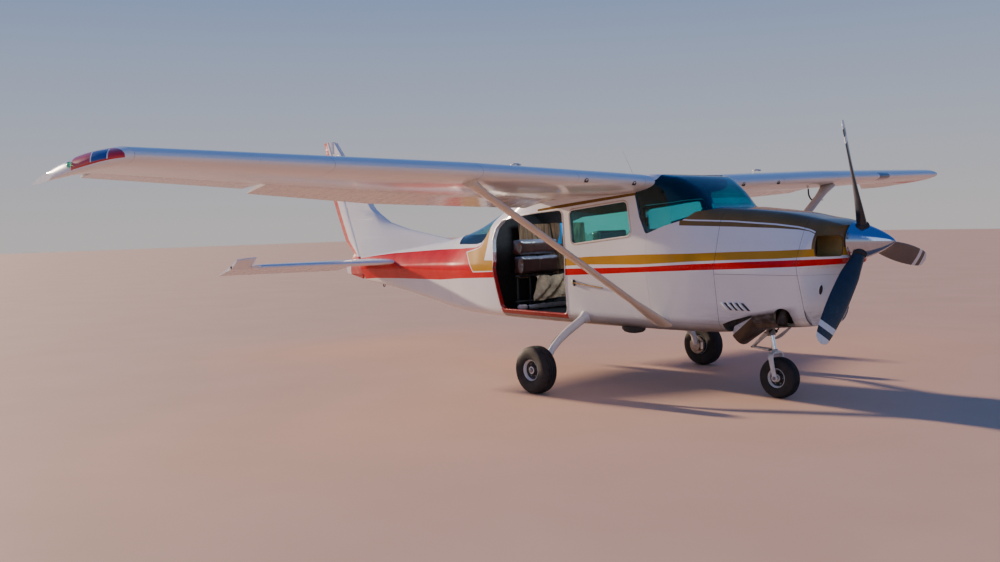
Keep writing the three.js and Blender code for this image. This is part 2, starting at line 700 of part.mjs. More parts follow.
// A point of a wing section at a part of the chord, lifted off the chord line
function sectionPoint(row, u, v) {
  const c = Math.cos(radians(row.twist));
  const d = Math.sin(radians(row.twist));
  return [row.x + row.chord * (-u * c - v * d), row.z + row.chord * (-u * d + v * c)];
}
function airfoil(u) {
  const m = AIRFOIL_CAMBER;
  const p = AIRFOIL_CAMBER_AT;
  const rise = 2 * p * u - u * u;
  const camber = u < p ? (m / p ** 2) * rise : (m / (1 - p) ** 2) * (1 - 2 * p + rise);
  const half =
    5 * AIRFOIL_THICKNESS *
    (0.2969 * Math.sqrt(u) - 0.126 * u - 0.3516 * u ** 2 + 0.2843 * u ** 3 - 0.1015 * u ** 4);
  return { upper: camber + half, lower: camber - half, camber };
}
function wingRing(row, s, shift = 0) {
  const upper = [];
  const lower = [];
  for (let k = 0; k <= AIRFOIL_STEPS; k++) {
    const u = (1 - Math.cos((Math.PI * k) / AIRFOIL_STEPS)) / 2;
    const { upper: high, lower: low } = airfoil(u);
    upper.push(sectionPoint(row, u, high));
    if (k > 0) lower.push(sectionPoint(row, u, low));
  }
  return [...upper.reverse(), ...lower].map(([x, z]) => [x, s * row.y, z + shift]);
}
const RIB_BACK = 34;
// The hinge line runs straight between the ends; the trailing edge follows the wing
function trailingSurface(surface, s) {
  const hingeAt = (y) => {
    const row = wingAt(y);
    return sectionPoint(row, surface.hinge, airfoil(surface.hinge).camber);
  };
  const [innerHinge, outerHinge] = [hingeAt(surface.from), hingeAt(surface.to)];
  const bends = WING.map((row) => row.y).filter((y) => y > surface.from && y < surface.to);
  const stations = [surface.from, ...bends, surface.to].map((y) => {
    const t = (y - surface.from) / (surface.to - surface.from);
    const at = innerHinge.map((v, i) => lerp(v, outerHinge[i], t));
    const row = wingAt(y);
    const { upper, lower } = airfoil((row.x - at[0]) / row.chord);
    const trail = sectionPoint(row, 1, 0);
    const back = Math.hypot(at[0] - trail[0], at[1] - trail[1]);
    const fall = THREE.MathUtils.radToDeg(Math.atan2(at[1] - trail[1], at[0] - trail[0]));
    const nose = ((upper - lower) / 2) * row.chord * 0.93;
    return { y, at, nose, back, fall, point: [at[0], s * y, at[1]] };
  });
  const first = stations[0];
  const last = stations.at(-1);
  const inner = bosses(first.point, last.point);
  const outerEnd = bosses(last.point, first.point);
  const rings = stations.map((e) => surfaceRing(e.at, e.nose, e.back, surface.droop + e.fall, s * e.y));
  const front = stations.map((e) => [e.at[0] + e.nose + MOVING_GAP, e.y]);
  front[0][1] -= MOVING_GAP;
  front.at(-1)[1] += MOVING_GAP;
  return {
    solid: loft(rings).add(inner.moving).add(outerEnd.moving),
    fixed: inner.fixed
      .intersect(outerLimit(s, first.y - 14, first.y))
      .add(outerEnd.fixed.intersect(outerLimit(s, last.y, last.y + 14))),
    cut: planPrism(
      [...front, [-500, front.at(-1)[1]], [-500, front[0][1]]].map(([x, y]) => [x, s * y]),
      1000,
      3000,
    ),
    hingeEnd: last.point,
  };
}
function outerLimit(s, y0, y1) {
  return slab(-9000, 9000, 0, 4000, Math.min(s * y0, s * y1), Math.max(s * y0, s * y1));
}

for (const { word, s } of SIDES) {
  const flap = trailingSurface(FLAP, s);
  const aileron = trailingSurface(AILERON, s);
  const ribRear = flap.hingeEnd[0] - RIB_BACK;
  const ribTrim = box(
    [-500, Math.min(s * (FLAP.to - 50), s * (AILERON.from + 50)), 1000],
    [ribRear, Math.max(s * (FLAP.to - 50), s * (AILERON.from + 50)), 3000],
  );
  const wing = loft(WING.map((row) => wingRing(row, s)))
    .subtract(outerGrown)
    .subtract(flap.cut)
    .subtract(aileron.cut)
    .subtract(ribTrim)
    .add(flap.fixed)
    .add(aileron.fixed);
  add("wing_" + word, wing, WHITE);
  add("flap_" + word, flap.solid, WHITE);
  add("aileron_" + word, aileron.solid, WHITE);
  add("wing_tip_" + word, loft(WING_TIP.map((row) => wingRing(row, s))), RED);

  // Lift strut
  const strutRing = ([x, y, z]) => {
    const ring = [];
    for (let k = 0; k < 14; k++) {
      const angle = (2 * Math.PI * k) / 14;
      ring.push([x + (STRUT.chord / 2) * Math.cos(angle), y, z + (STRUT.thick / 2) * Math.sin(angle)]);
    }
    return ring;
  };
  const [low, high] = [STRUT.low, STRUT.high].map(([x, y, z]) => [x, s * y, z]);
  const wingBelow = loft(WING.map((row) => wingRing(row, s, -SEAT_GAP)));
  add(
    "wing_strut_" + word,
    loft([strutRing(along3(low, high, -0.05)), strutRing(high)]).subtract(outerGrown).subtract(wingBelow),
    WHITE,
  );
}

// Main landing gear
const TYRE_SIDES = 24;
const RIM_SIDES = 16;
const RIM_GAP = 1;
const HUB_BORE = 20.4;
const BEAD = 0.88;
// A facet of the tyre lies level on the ground
function wheelParts(wheel, s) {
  const { tyreWidth: w, rimRadius: rim } = wheel;
  const r = wheel.tyreRadius / Math.cos(Math.PI / TYRE_SIDES);
  const h = w / 2;
  const depth = (part) => rim + (r - rim) * part;
  const tyre = [
    [-h * BEAD, rim + RIM_GAP], [-h * 0.98, depth(0.3)], [-h, depth(0.55)], [-h * 0.88, depth(0.82)],
    [-h * 0.4, r - 4], [0, r], [h * 0.4, r - 4], [h * 0.88, depth(0.82)],
    [h, depth(0.55)], [h * 0.98, depth(0.3)], [h * BEAD, rim + RIM_GAP], [-h * BEAD, rim + RIM_GAP],
  ];
  const rimHalf = [
    [h * 0.6, HUB_BORE], [h * 0.6, 46], [h * 0.3, 50],
    [h * 0.3, rim - 14], [h * BEAD, rim - 6], [h * BEAD, rim],
  ];
  const rimShape = [...rimHalf.map(([d, r2]) => [-d, r2]), ...rimHalf.reverse(), [-h * 0.6, HUB_BORE]];
  return {
    tyre: turned(tyre, [wheel.x, s * wheel.y, wheel.z], [0, 1, 0], TYRE_SIDES, Math.PI / TYRE_SIDES),
    rim: turned(rimShape, [wheel.x, s * wheel.y, wheel.z], [0, 1, 0], RIM_SIDES),
  };
}
function bentTube(points, radii, sides = 10) {
  const curve = new THREE.CatmullRomCurve3(points.map((p) => new THREE.Vector3(...p)));
  const steps = 8;
  const rings = [];
  const frames = curve.computeFrenetFrames(steps, false);
  for (let i = 0; i <= steps; i++) {
    const t = i / steps;
    const centre = curve.getPointAt(t);
    const radius = lerp(radii[0], radii[1], t);
    const ring = [];
    for (let k = 0; k < sides; k++) {
      const angle = (2 * Math.PI * k) / sides;
      ring.push(
        centre
          .clone()
          .addScaledVector(frames.normals[i], radius * Math.cos(angle))
          .addScaledVector(frames.binormals[i], radius * Math.sin(angle))
          .toArray(),
      );
    }
    rings.push(ring);
  }
  return loft(rings);
}
const AXLE_RADIUS = 20;
const MAIN_FLANGE = { radius: 62, inner: 60, outer: 8 };
for (const { word, s } of SIDES) {
  const { tyre, rim } = wheelParts(MAIN_WHEEL, s);
  add("main_tyre_" + word, tyre, RUBBER);
  add("main_wheel_" + word, rim, STEEL);
  const inner = MAIN_WHEEL.y - MAIN_WHEEL.tyreWidth / 2;
  const leg = bentTube(
    LEG_LINE.map(([x, y, z]) => [x, s * y, z]),
    [LEG_RADIUS.inner, LEG_RADIUS.outer],
  );
  const onAxle = (y) => [MAIN_WHEEL.x, s * y, MAIN_WHEEL.z];
  const axle = rod(onAxle(inner - 56), onAxle(MAIN_WHEEL.y + 70), AXLE_RADIUS, 20);
  const flange = rod(
    onAxle(inner - MAIN_FLANGE.inner),
    onAxle(inner - MAIN_FLANGE.outer),
    MAIN_FLANGE.radius,
    24,
  );
  add("main_leg_" + word, leg.subtract(outerGrown).add(axle).add(flange), WHITE);
}

// Nose gear: a leaning oleo, its upper part fixed to the firewall
const NOSE_LEAN = radians(12);
const noseAxis = [-Math.sin(NOSE_LEAN), 0, Math.cos(NOSE_LEAN)];
const nosePoint = (d) => [NOSE_WHEEL.x + noseAxis[0] * d, 0, NOSE_WHEEL.z + noseAxis[2] * d];
const OLEO = { outer: 34, piston: 23, low: 493, high: 876, crown: 235 };
const FORK_Y = NOSE_WHEEL.tyreWidth / 2 + 13;
function bracket(z, height) {
  return box([FIREWALL_X + g, -46, z], [nosePoint(z - NOSE_WHEEL.z)[0], 46, z + height]);
}
const noseStrut = rod(nosePoint(OLEO.low), nosePoint(OLEO.high), OLEO.outer, 24)
  .add(bracket(840, 60))
  .add(bracket(1010, 40));
const COLLAR = { low: OLEO.low + 15, high: OLEO.low + 55, radius: 46 };
const collar = rod(nosePoint(COLLAR.low), nosePoint(COLLAR.high), COLLAR.radius, 16).subtract(
  rod(nosePoint(COLLAR.low - 5), nosePoint(COLLAR.high + 5), OLEO.outer + 0.5, 24),
);
const linkBack = (d, back) => {
  const [x, y, z] = nosePoint(d);
  return [x - back * Math.cos(NOSE_LEAN), y, z - back * Math.sin(NOSE_LEAN)];
};
const LINK = { radius: 9, back: 215, knee: 395, low: 345, cuff: 34 };
const linkKnee = linkBack(LINK.knee, LINK.back);
const torqueLink = rod(linkBack(COLLAR.low + 20, 40), linkKnee, LINK.radius, 8)
  .add(rod(linkKnee, linkBack(LINK.low, 20), LINK.radius, 8))
  .add(rod([linkKnee[0], -22, linkKnee[2]], [linkKnee[0], 22, linkKnee[2]], 12, 8))
  .add(rod(nosePoint(LINK.low - 20), nosePoint(LINK.low + 20), LINK.cuff, 16));
const FORK_LEG = { halfThick: 7, footHalf: 26, crownHalf: 34 };
const onNoseAxle = (y) => [NOSE_WHEEL.x, y, NOSE_WHEEL.z];
let fork = rod(nosePoint(OLEO.crown), nosePoint(OLEO.low - SEAT_GAP), OLEO.piston, 24)
  .add(box([-38, -FORK_Y - 12, -18], [38, FORK_Y + 12, 22]).transform(
    new THREE.Matrix4().makeTranslation(...nosePoint(OLEO.crown + 10)).elements,
  ))
  .add(collar)
  .add(torqueLink);
for (const { s } of SIDES) {
  const inside = s * (FORK_Y - FORK_LEG.halfThick);
  const outside = s * (FORK_Y + FORK_LEG.halfThick);
  const legRing = (d, half) => {
    const [x, , z] = nosePoint(d);
    return [[x - half, inside, z], [x + half, inside, z], [x + half, outside, z], [x - half, outside, z]];
  };
  fork = fork
    .add(loft([legRing(0, FORK_LEG.footHalf), legRing(OLEO.crown + 16, FORK_LEG.crownHalf)]))
    .add(rod(onNoseAxle(inside), onNoseAxle(s * (FORK_Y + 9)), 28, 20));
}
fork = fork.add(rod(onNoseAxle(-FORK_Y - 14), onNoseAxle(FORK_Y + 14), AXLE_RADIUS, 20));
add("nose_oleo", noseStrut, WHITE);
add("nose_fork", fork, STEEL);
const noseParts = wheelParts(NOSE_WHEEL, 1);
add("nose_tyre", noseParts.tyre, RUBBER);
add("nose_wheel", noseParts.rim, STEEL);

// Engine cowling
const COWL_SEAM_Z = 1135;
const cowlShell = outer.subtract(fuselage(COWL_WALL)).intersect(slab(FIREWALL_X + g, BOWL_JOINT_X - g));
add("cowl_upper", cowlShell.intersect(slab(-5000, 5000, COWL_SEAM_Z + g, 4000)), WHITE);
const GEAR_HOLE = { x0: 2815, x1: 3130, half: 100 };
// Cowl flap: its hinge edge and rear edge, each an outboard and an inboard corner x, y, z
const COWL_FLAP = {
  front: [[3120, 436, 770], [3120, 190, 664]],
  rear: [[2915, 436, 600], [2890, 190, 508]],
  cheek: [2940, 690],
  thick: 8,
};
const COWL_FLAP_OPENING = [[2830, 0], [2830, 700], [2930, 738], [3120 + 2 * g, 790], [3120 + 2 * g, 0]];
const ENGINE = { rear: 2890, front: 3500, low: 1140 };
const EXHAUST = {
  knee: [3340, -270, 930],
  mouth: [3366, -356, 775],
  low: [3372, -378, 712],
  out: [3382, -414, 600],
  radius: 44,
};
// The exhaust hole: round in the side of the cowl and open to the belly
const EXHAUST_HOLE = {
  inner: [3376, -280, 815],
  outer: [3392, -560, 740],
  radius: 74,
  slot: [3312, 3460],
  top: 790,
};
const exhaustHole = rod(EXHAUST_HOLE.inner, EXHAUST_HOLE.outer, EXHAUST_HOLE.radius, 20).add(
  box([EXHAUST_HOLE.slot[0], -560, 0], [EXHAUST_HOLE.slot[1], -318, EXHAUST_HOLE.top]),
);
let cowlLower = cowlShell
  .intersect(slab(-5000, 5000, 0, COWL_SEAM_Z - g))
  .subtract(box([GEAR_HOLE.x0, -GEAR_HOLE.half, 0], [GEAR_HOLE.x1, GEAR_HOLE.half, 900]))
  .subtract(exhaustHole);
for (const { word, s } of SIDES) {
  const [outerY, innerY] = COWL_FLAP.front.map((corner) => corner[1]);
  cowlLower = cowlLower.subtract(sidePrism(COWL_FLAP_OPENING, s * (innerY - 4), s * 700));
  const edge = (i) => {
    const [[x0, y, z0], [x1, , z1]] = [COWL_FLAP.front[i], COWL_FLAP.rear[i]];
    const { thick } = COWL_FLAP;
    return [[x0, z0], [x0, z0 + thick], [x1, z1 + thick], [x1, z1]].map(([x, z]) => [x, s * y, z]);
  };
  const cheekFoot = [COWL_FLAP.front[0], COWL_FLAP.rear[0]].map(([x, , z]) => [x, z + COWL_FLAP.thick / 2]);
  const cheek = sidePrism([...cheekFoot, COWL_FLAP.cheek], s * (outerY - COWL_FLAP.thick), s * outerY);
  add("cowl_flap_" + word, loft([edge(0), edge(1)]).add(cheek), WHITE);
}
add("cowl_lower", cowlLower, WHITE);
const exhaustPipe = rod(EXHAUST.knee, EXHAUST.low, EXHAUST.radius, 16)
  .add(rod([EXHAUST.knee[0], EXHAUST.knee[1], ENGINE.low - SEAT_GAP], EXHAUST.knee, EXHAUST.radius, 16))
  .subtract(rod(EXHAUST.mouth, EXHAUST.out, EXHAUST.radius - 4, 16));
add("exhaust_pipe", exhaustPipe, STEEL);

// Chin: below the air inlets the bowl is drawn back to this plan outline of x, y points
const CHIN_PLAN = [
  [3400, 700], [3540, 560], [3600, 445], [3650, 365], [3700, 275], [3740, 195], [3775, 105],
];
const CHIN_TIP_X = 3800;
// Columns: height z, how far forward of that outline
const CHIN_LEVELS = [
  [0, -180], [700, -165], [900, -75], [1190, 0], [1290, 180], [3000, 180],
];
function chinForm(back) {
  const half = CHIN_PLAN.map(([x, y]) => [x - back, y]);
  const mirrored = half.map(([x, y]) => [x, -y]).reverse();
  const front = [...half, [CHIN_TIP_X - back, 0], ...mirrored];
  const rear = BOWL_JOINT_X - 500;
  return loft(
    CHIN_LEVELS.map(([z, reach]) => [
      [rear, 700, z],
      ...front.map(([x, y]) => [x + reach, y, z]),
      [rear, -700, z],
    ]),
  );
}
const bowlInside = fuselage(COWL_WALL, BOWL_JOINT_X - 300)
  .intersect(slab(0, NOSE_X - COWL_WALL))
  .intersect(chinForm(COWL_WALL));
let bowl = outer.intersect(slab(BOWL_JOINT_X + g, NOSE_X)).intersect(chinForm(0)).subtract(bowlInside);
const INLET = { y0: 165, y1: 425, z0: 1285, z1: 1455 };
const MOUTH = { rear: 3700, front: 3900 };
for (const { s } of SIDES) {
  const y0 = Math.min(s * INLET.y0, s * INLET.y1);
  const y1 = Math.max(s * INLET.y0, s * INLET.y1);
  bowl = bowl.subtract(box([MOUTH.rear, y0, INLET.z0], [MOUTH.front, y1, INLET.z1]));
}
const SHAFT = { radius: 44, hole: 70 };
const onShaft = (x) => [x, 0, PROPELLER.z];
bowl = bowl.subtract(rod(onShaft(MOUTH.rear), onShaft(MOUTH.front), SHAFT.hole, 32));
add("nose_bowl", bowl, GOLD);

// Engine block with its mount to the firewall and the propeller shaft
const BACKPLATE_X = SPINNER[0][0];
const ENGINE_SECTION = [
  [-330, ENGINE.low], [330, ENGINE.low], [400, 1220], [400, 1340],
  [240, 1535], [-240, 1535], [-400, 1340], [-400, 1220],
];
add(
  "engine_block",
  loft([ENGINE.rear, ENGINE.front].map((x) => ENGINE_SECTION.map(([y, z]) => [x, y, z])))
    .add(box([FIREWALL_X + g, -220, 1190], [ENGINE.rear + 20, 220, 1440]))
    .add(rod(onShaft(ENGINE.front - 20), onShaft(BACKPLATE_X - SEAT_GAP), SHAFT.radius, 32)),
  STEEL,
);

// Propeller
const spinnerProfile = [[BACKPLATE_X, 0], ...SPINNER];
const hubCentre = [0, 0, PROPELLER.z];
const spinner = turned(spinnerProfile, hubCentre, [1, 0, 0], 20);
const spinnerGrown = turned(
  spinnerProfile.map(([d, r], i) => [i < 2 ? d - SEAT_GAP : d + SEAT_GAP, r && r + SEAT_GAP]),
  hubCentre,
  [1, 0, 0],
  20,
);
add("spinner", spinner, POLISHED);
// Columns: radius, chord, thickness, blade angle in degrees
const BLADE = [
  [110, 92, 84, 62],
  [230, 118, 60, 52],
  [380, 158, 38, 42],
  [620, 176, 26, 32],
  [860, 158, 18, 25],
  [980, 118, 12, 22],
  [PROPELLER.radius, 62, 8, 21],
];
function bladeRing([radius, chord, thickness, pitch]) {
  const ring = [];
  const c = Math.cos(radians(pitch));
  const d = Math.sin(radians(pitch));
  for (let k = 0; k < 12; k++) {
    const angle = (2 * Math.PI * k) / 12;
    const u = (chord / 2) * Math.cos(angle);
    const v = (thickness / 2) * Math.sin(angle);
    ring.push([u * d + v * c, -u * c + v * d, radius]);
  }
  return ring;
}
for (const { name, degrees } of BLADE_ANGLES) {
  const place = new THREE.Matrix4()
    .makeTranslation(PROPELLER.x, 0, PROPELLER.z)
    .multiply(new THREE.Matrix4().makeRotationX(radians(-degrees)));
  add(name, loft(BLADE.map(bladeRing)).transform(place.elements).subtract(spinnerGrown), BLACK);
}

// Seats: pedestal, cushion and back in one plain solid each
// x is the front face of the back, y the middle; cushion and top are the heights of cushion and back
const FRONT_SEAT = { x: 1470, width: 460, length: 400, cushion: 1020, top: 1560, lean: 100 };
const SEATS = [
  { ...FRONT_SEAT, name: "seat_front_left", y: 265 },
  { ...FRONT_SEAT, name: "seat_front_right", y: -265 },
  { name: "seat_rear_bench", x: 60, y: 0, width: 700, length: 45, cushion: 1040, top: 1430, lean: 30 },
];
const SEAT_BACK = 110;
const SEAT_INSET = 70;
for (const { name, x, y, width, length, cushion, top, lean } of SEATS) {
  const w = width / 2;
  const pedestal = box(
    [x - SEAT_BACK, y - w + SEAT_INSET, FLOOR.high + SEAT_GAP],
    [x + length - SEAT_INSET / 2, y + w - SEAT_INSET, cushion - 100],
  );
  const cushionBlock = box([x - SEAT_BACK, y - w, cushion - 140], [x + length, y + w, cushion]);
  const back = sidePrism(
    [[x - SEAT_BACK, cushion - 100], [x, cushion - 100], [x - lean, top], [x - lean - SEAT_BACK, top]],
    y - w,
    y + w,
  );
  add(name, pedestal.add(cushionBlock).add(back), LEATHER);
}
// Cloths: a curtain across the cabin behind the bench and a blanket falling from the bench to the floor
const CURTAIN = { low: [-165, -130, 1000], high: [-150, 700, 1600] };
add("rear_curtain", cabinInside.intersect(box(CURTAIN.low, CURTAIN.high)), CLOTH);
const BLANKET = { topX: 106, footX: 234, thick: 16, topZ: 1035, y0: -230, y1: 330 };
const blanketFoot = FLOOR.high + SEAT_GAP;
add(
  "seat_blanket",
  sidePrism(
    [
      [BLANKET.topX, BLANKET.topZ], [BLANKET.topX + BLANKET.thick, BLANKET.topZ],
      [BLANKET.footX + BLANKET.thick, blanketFoot], [BLANKET.footX, blanketFoot],
    ],
    BLANKET.y0,
    BLANKET.y1,
  ),
  CLOTH,
);

export default aircraft;
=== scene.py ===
# Looks of the six-seat high-wing light aircraft, in metres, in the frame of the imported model.
# Tables and shapes are in the drawing's millimetres, as in the solids; metres() moves them into the frame.
import math
from functools import partialmethod, reduce

import bmesh
import bpy
import numpy as np
from mathutils import Matrix, Vector


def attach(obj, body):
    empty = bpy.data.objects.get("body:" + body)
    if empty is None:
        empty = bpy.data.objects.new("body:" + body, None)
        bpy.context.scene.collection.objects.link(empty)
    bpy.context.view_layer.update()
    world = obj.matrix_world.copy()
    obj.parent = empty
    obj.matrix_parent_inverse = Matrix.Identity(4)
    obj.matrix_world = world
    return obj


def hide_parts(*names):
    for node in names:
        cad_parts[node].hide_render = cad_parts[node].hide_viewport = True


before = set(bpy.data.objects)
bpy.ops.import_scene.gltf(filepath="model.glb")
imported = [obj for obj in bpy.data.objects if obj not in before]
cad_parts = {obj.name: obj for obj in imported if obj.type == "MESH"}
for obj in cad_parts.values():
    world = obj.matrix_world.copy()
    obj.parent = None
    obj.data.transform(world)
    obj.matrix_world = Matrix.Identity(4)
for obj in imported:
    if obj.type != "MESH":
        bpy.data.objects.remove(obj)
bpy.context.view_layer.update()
DATUM = (83.0, 0.0, -26.5)
SIDES = (("right", -1), ("left", 1))


def mm(value):
    return value / 1000


def frame_x(x):
    return (x + DATUM[0]) / 1000


def frame_z(z):
    return (z + DATUM[2]) / 1000


def metres(points):
    return (np.asarray(points, float).reshape(-1, 3) + DATUM) / 1000


# Camera, solved from the photograph

CAMERA_PLACE = (8.3786, -7.7123, 1.6031)
YAW, PITCH, ROLL = (math.radians(angle) for angle in (49.17, -3.29, -1.41))


def make_camera():
    look = Vector((-math.sin(YAW) * math.cos(PITCH), math.cos(YAW) * math.cos(PITCH), math.sin(PITCH)))
    right = look.cross(Vector((0, 0, 1))).normalized()
    up = right.cross(look)
    side = right * math.cos(ROLL) + up * math.sin(ROLL)
    top = up * math.cos(ROLL) - right * math.sin(ROLL)
    data = bpy.data.cameras.new("camera")
    data.sensor_width = 36
    data.lens = 37.16
    data.clip_end = 200
    camera = bpy.data.objects.new("camera", data)
    turn = Matrix((side, top, -look)).transposed().to_4x4()
    camera.matrix_world = Matrix.Translation(CAMERA_PLACE) @ turn
    bpy.context.scene.collection.objects.link(camera)
    bpy.context.scene.camera = camera


make_camera()

# Materials


class Field:
    """A number at each point of a surface: a node socket with arithmetic."""

    def __init__(self, tree, socket):
        self.tree, self.socket = tree, socket

    def op(self, operation, *others, clamp=False):
        node = self.tree.nodes.new("ShaderNodeMath")
        node.operation = operation
        node.use_clamp = clamp
        for i, value in enumerate((self, *others)):
            if isinstance(value, Field):
                self.tree.links.new(value.socket, node.inputs[i])
            else:
                node.inputs[i].default_value = value
        return Field(self.tree, node.outputs[0])

    __add__ = partialmethod(op, "ADD")
    __sub__ = partialmethod(op, "SUBTRACT")
    __mul__ = partialmethod(op, "MULTIPLY")
    __truediv__ = partialmethod(op, "DIVIDE")
    __gt__ = partialmethod(op, "GREATER_THAN")
    __lt__ = partialmethod(op, "LESS_THAN")
    least = partialmethod(op, "MINIMUM")
    most = partialmethod(op, "MAXIMUM")
    abs = partialmethod(op, "ABSOLUTE")
    clamped = partialmethod(op, "ADD", 0.0, clamp=True)

    def inverse(self):
        return (self * -1.0) + 1.0

    def wave(self, length):
        """0 to 1 and back once in each length."""
        return (self / length * 2 * math.pi).op("SINE") * 0.5 + 0.5


def any_of(fields):
    return reduce(Field.most, fields)


class Surface:
    """A material with one principled shader and fields of its object coordinates."""

    def __init__(self, name, **uniform):
        self.material = bpy.data.materials.new(name)
        self.material.use_nodes = True
        self.tree = self.material.node_tree
        self.shader = self.tree.nodes["Principled BSDF"]
        self.place = self.node("TexCoord").outputs["Object"]
        self.x, self.y, self.z = self.split(self.place)
        self.normal = None
        for key, value in uniform.items():
            self.feed(self.shader.inputs[key.replace("_", " ")], value)

    def node(self, kind, **inputs):
        """A shader node whose inputs take numbers, sockets or fields."""
        node = self.tree.nodes.new("ShaderNode" + kind)
        for key, value in inputs.items():
            self.feed(node.inputs[key], value)
        return node

    def feed(self, socket, value):
        value = getattr(value, "socket", value)
        if isinstance(value, bpy.types.NodeSocket):
            self.tree.links.new(value, socket)
        else:
            socket.default_value = value

    def split(self, vector):
        parts = self.node("SeparateXYZ", Vector=vector).outputs
        return [Field(self.tree, part) for part in parts]

    def facing_up(self):
        return self.split(self.node("NewGeometry").outputs["Normal"])[2]

    def stretched(self, stretch):
        if stretch is None:
            return self.place
        return self.node("Mapping", Vector=self.place, Scale=stretch).outputs[0]

    def noise(self, scale, detail=3.0, rough=0.55, stretch=None):
        place = self.stretched(stretch)
        node = self.node("TexNoise", Vector=place, Scale=scale, Detail=detail, Roughness=rough)
        return Field(self.tree, node.outputs["Fac"])

    def cells(self, scale):
        node = self.node("TexVoronoi", Vector=self.place, Scale=scale)
        return Field(self.tree, node.outputs["Distance"])

    def curve(self, field, points):
        """The value at a field of straight lines through points, each a field value and a result."""
        xs, ys = zip(*points)
        low, high = min(ys) - 0.01, max(ys) + 0.01
        node = self.node("FloatCurve")
        curve = node.mapping.curves[0]
        spots = [((x - xs[0]) / (xs[-1] - xs[0]), (y - low) / (high - low)) for x, y in points]
        curve.points[0].location = spots[0]
        curve.points[1].location = spots[-1]
        for spot in spots[1:-1]:
            curve.points.new(*spot)
        for point in curve.points:
            point.handle_type = "VECTOR"
        node.mapping.update()
        self.feed(node.inputs["Value"], ((field - xs[0]) / (xs[-1] - xs[0])).clamped())
        return Field(self.tree, node.outputs[0]) * (high - low) + low

    def profile(self, points):
        """A height along the length: points are drawing x and z."""
        return self.curve(self.x, [(frame_x(x), frame_z(z)) for x, z in points])

    def ramp(self, field, first, last, start=0.3, end=0.7):
        """Two colours with a blend between two values of a field."""
        node = self.node("ValToRGB")
        self.feed(node.inputs[0], field)
        for element, position, colour in zip(node.color_ramp.elements, (start, end), (first, last)):
            element.position = position
            element.color = (*colour, 1)
        return node.outputs[0]

    def tones(self, pair, scale, detail=4):
        return self.ramp(self.noise(scale, detail), *pair)

    def mix(self, field, first, second):
        node = self.node("Mix")
        node.data_type = "RGBA"
        self.feed(node.inputs[0], field)
        for socket, value in ((node.inputs[6], first), (node.inputs[7], second)):
            self.feed(socket, (*value, 1) if isinstance(value, tuple) else value)
        return node.outputs[2]

    def bump(self, field, distance, strength=1.0):
        node = self.node("Bump", Strength=strength, Distance=distance, Height=field)
        if self.normal is not None:
            self.feed(node.inputs["Normal"], self.normal)
        self.normal = node.outputs[0]

    def finished(self, colour, rough):
        self.feed(self.shader.inputs["Base Color"], colour)
        self.feed(self.shader.inputs["Roughness"], rough)
        if self.normal is not None:
            self.feed(self.shader.inputs["Normal"], self.normal)
        return self.material


def rivets(field, pitch, across, width=0.0045):
    """Small round heads every pitch along a field where the other field is near zero."""
    along = (((field / pitch).op("FRACT") - 0.5) * pitch).abs()
    distance = along.op("POWER", 2.0) + across.op("POWER", 2.0)
    return distance < (width / 2) ** 2


def line(field, place, width):
    return (field - place).abs() < width / 2


def soil(s, base, amount=0.25):
    """Faint grime that gathers low and streaks to the rear."""
    streaks = s.noise(2.2, 5, 0.6, (0.35, 1.6, 5.0))
    spots = s.noise(38, 4, 0.7)
    grime_and_shade = ((streaks - 0.42) * 1.6).clamped() * ((spots - 0.25) * 1.4).clamped()
    return s.mix(grime_and_shade * amount, base, (0.36, 0.33, 0.29))


# The faint blue in these whites is painted sky light.
WHITE = ((0.74, 0.755, 0.79), (0.80, 0.81, 0.825))

# Edges of the painted fields on the side: drawing x and z
EDGES = {
    "gold_top": [(-200, 1180), (985, 1250), (1388, 1275), (2016, 1299), (2554, 1310), (2967, 1325),
                 (3359, 1335), (3682, 1349), (3820, 1356)],
    "gold_low": [(-200, 1100), (985, 1176), (1389, 1199), (2019, 1208), (2561, 1240), (2979, 1257),
                 (3374, 1269), (3676, 1287), (3820, 1292)],
    "red_top": [(-200, 1090), (985, 1150), (1521, 1168), (2019, 1186), (2564, 1217), (2982, 1237),
                (3554, 1261), (3820, 1268)],
    "red_low": [(-200, 1030), (985, 1084), (1515, 1110), (2017, 1137), (2567, 1163), (2988, 1179),
                (3556, 1206), (3820, 1222)],
    "pinstripe": [(2100, 1640), (2521, 1601), (2913, 1584), (3303, 1552), (3504, 1526), (3620, 1500),
                  (3720, 1464), (3820, 1400)],
    "thin_gold_low": [(2100, 1560), (2429, 1557), (2528, 1553), (2927, 1538), (3315, 1520), (3512, 1505),
                      (3610, 1490), (3690, 1462), (3820, 1400)],
    "strip_top": [(300, 1716), (997, 1784), (1943, 1866), (2060, 1890)],
    "strip_low": [(300, 1700), (1048, 1756), (1940, 1840), (2060, 1846)],
    "band_top": [(-3400, 1190), (-3015, 1226), (-2560, 1262), (-1422, 1318), (-941, 1332), (-567, 1352),
                 (-480, 1372), (-425, 1417), (-405, 1510), (-400, 1600)],
    "band_low": [(-3400, 905), (-3000, 932), (-2300, 950), (-1537, 963), (-1334, 966), (-845, 999),
                 (-130, 1031)],
    "field_low": [(-600, 1074), (-130, 1094)],
    "field_top": [(-800, 1292), (-620, 1325), (-520, 1345), (-455, 1372), (-418, 1425), (-395, 1590),
                  (-200, 1900)],
}
SKIN_SEAMS = (-2330, -1740, -1160, -130, 560, 2085, 2800, 3560)
RIVET_FRAMES = (-2350, -2310, -1760, -1720, -1180, -1140, -150, -110, 2070, 2780, 2820, 3540, 3580)
RIVET_LEVELS = (720, 1020, 1190, 1400)


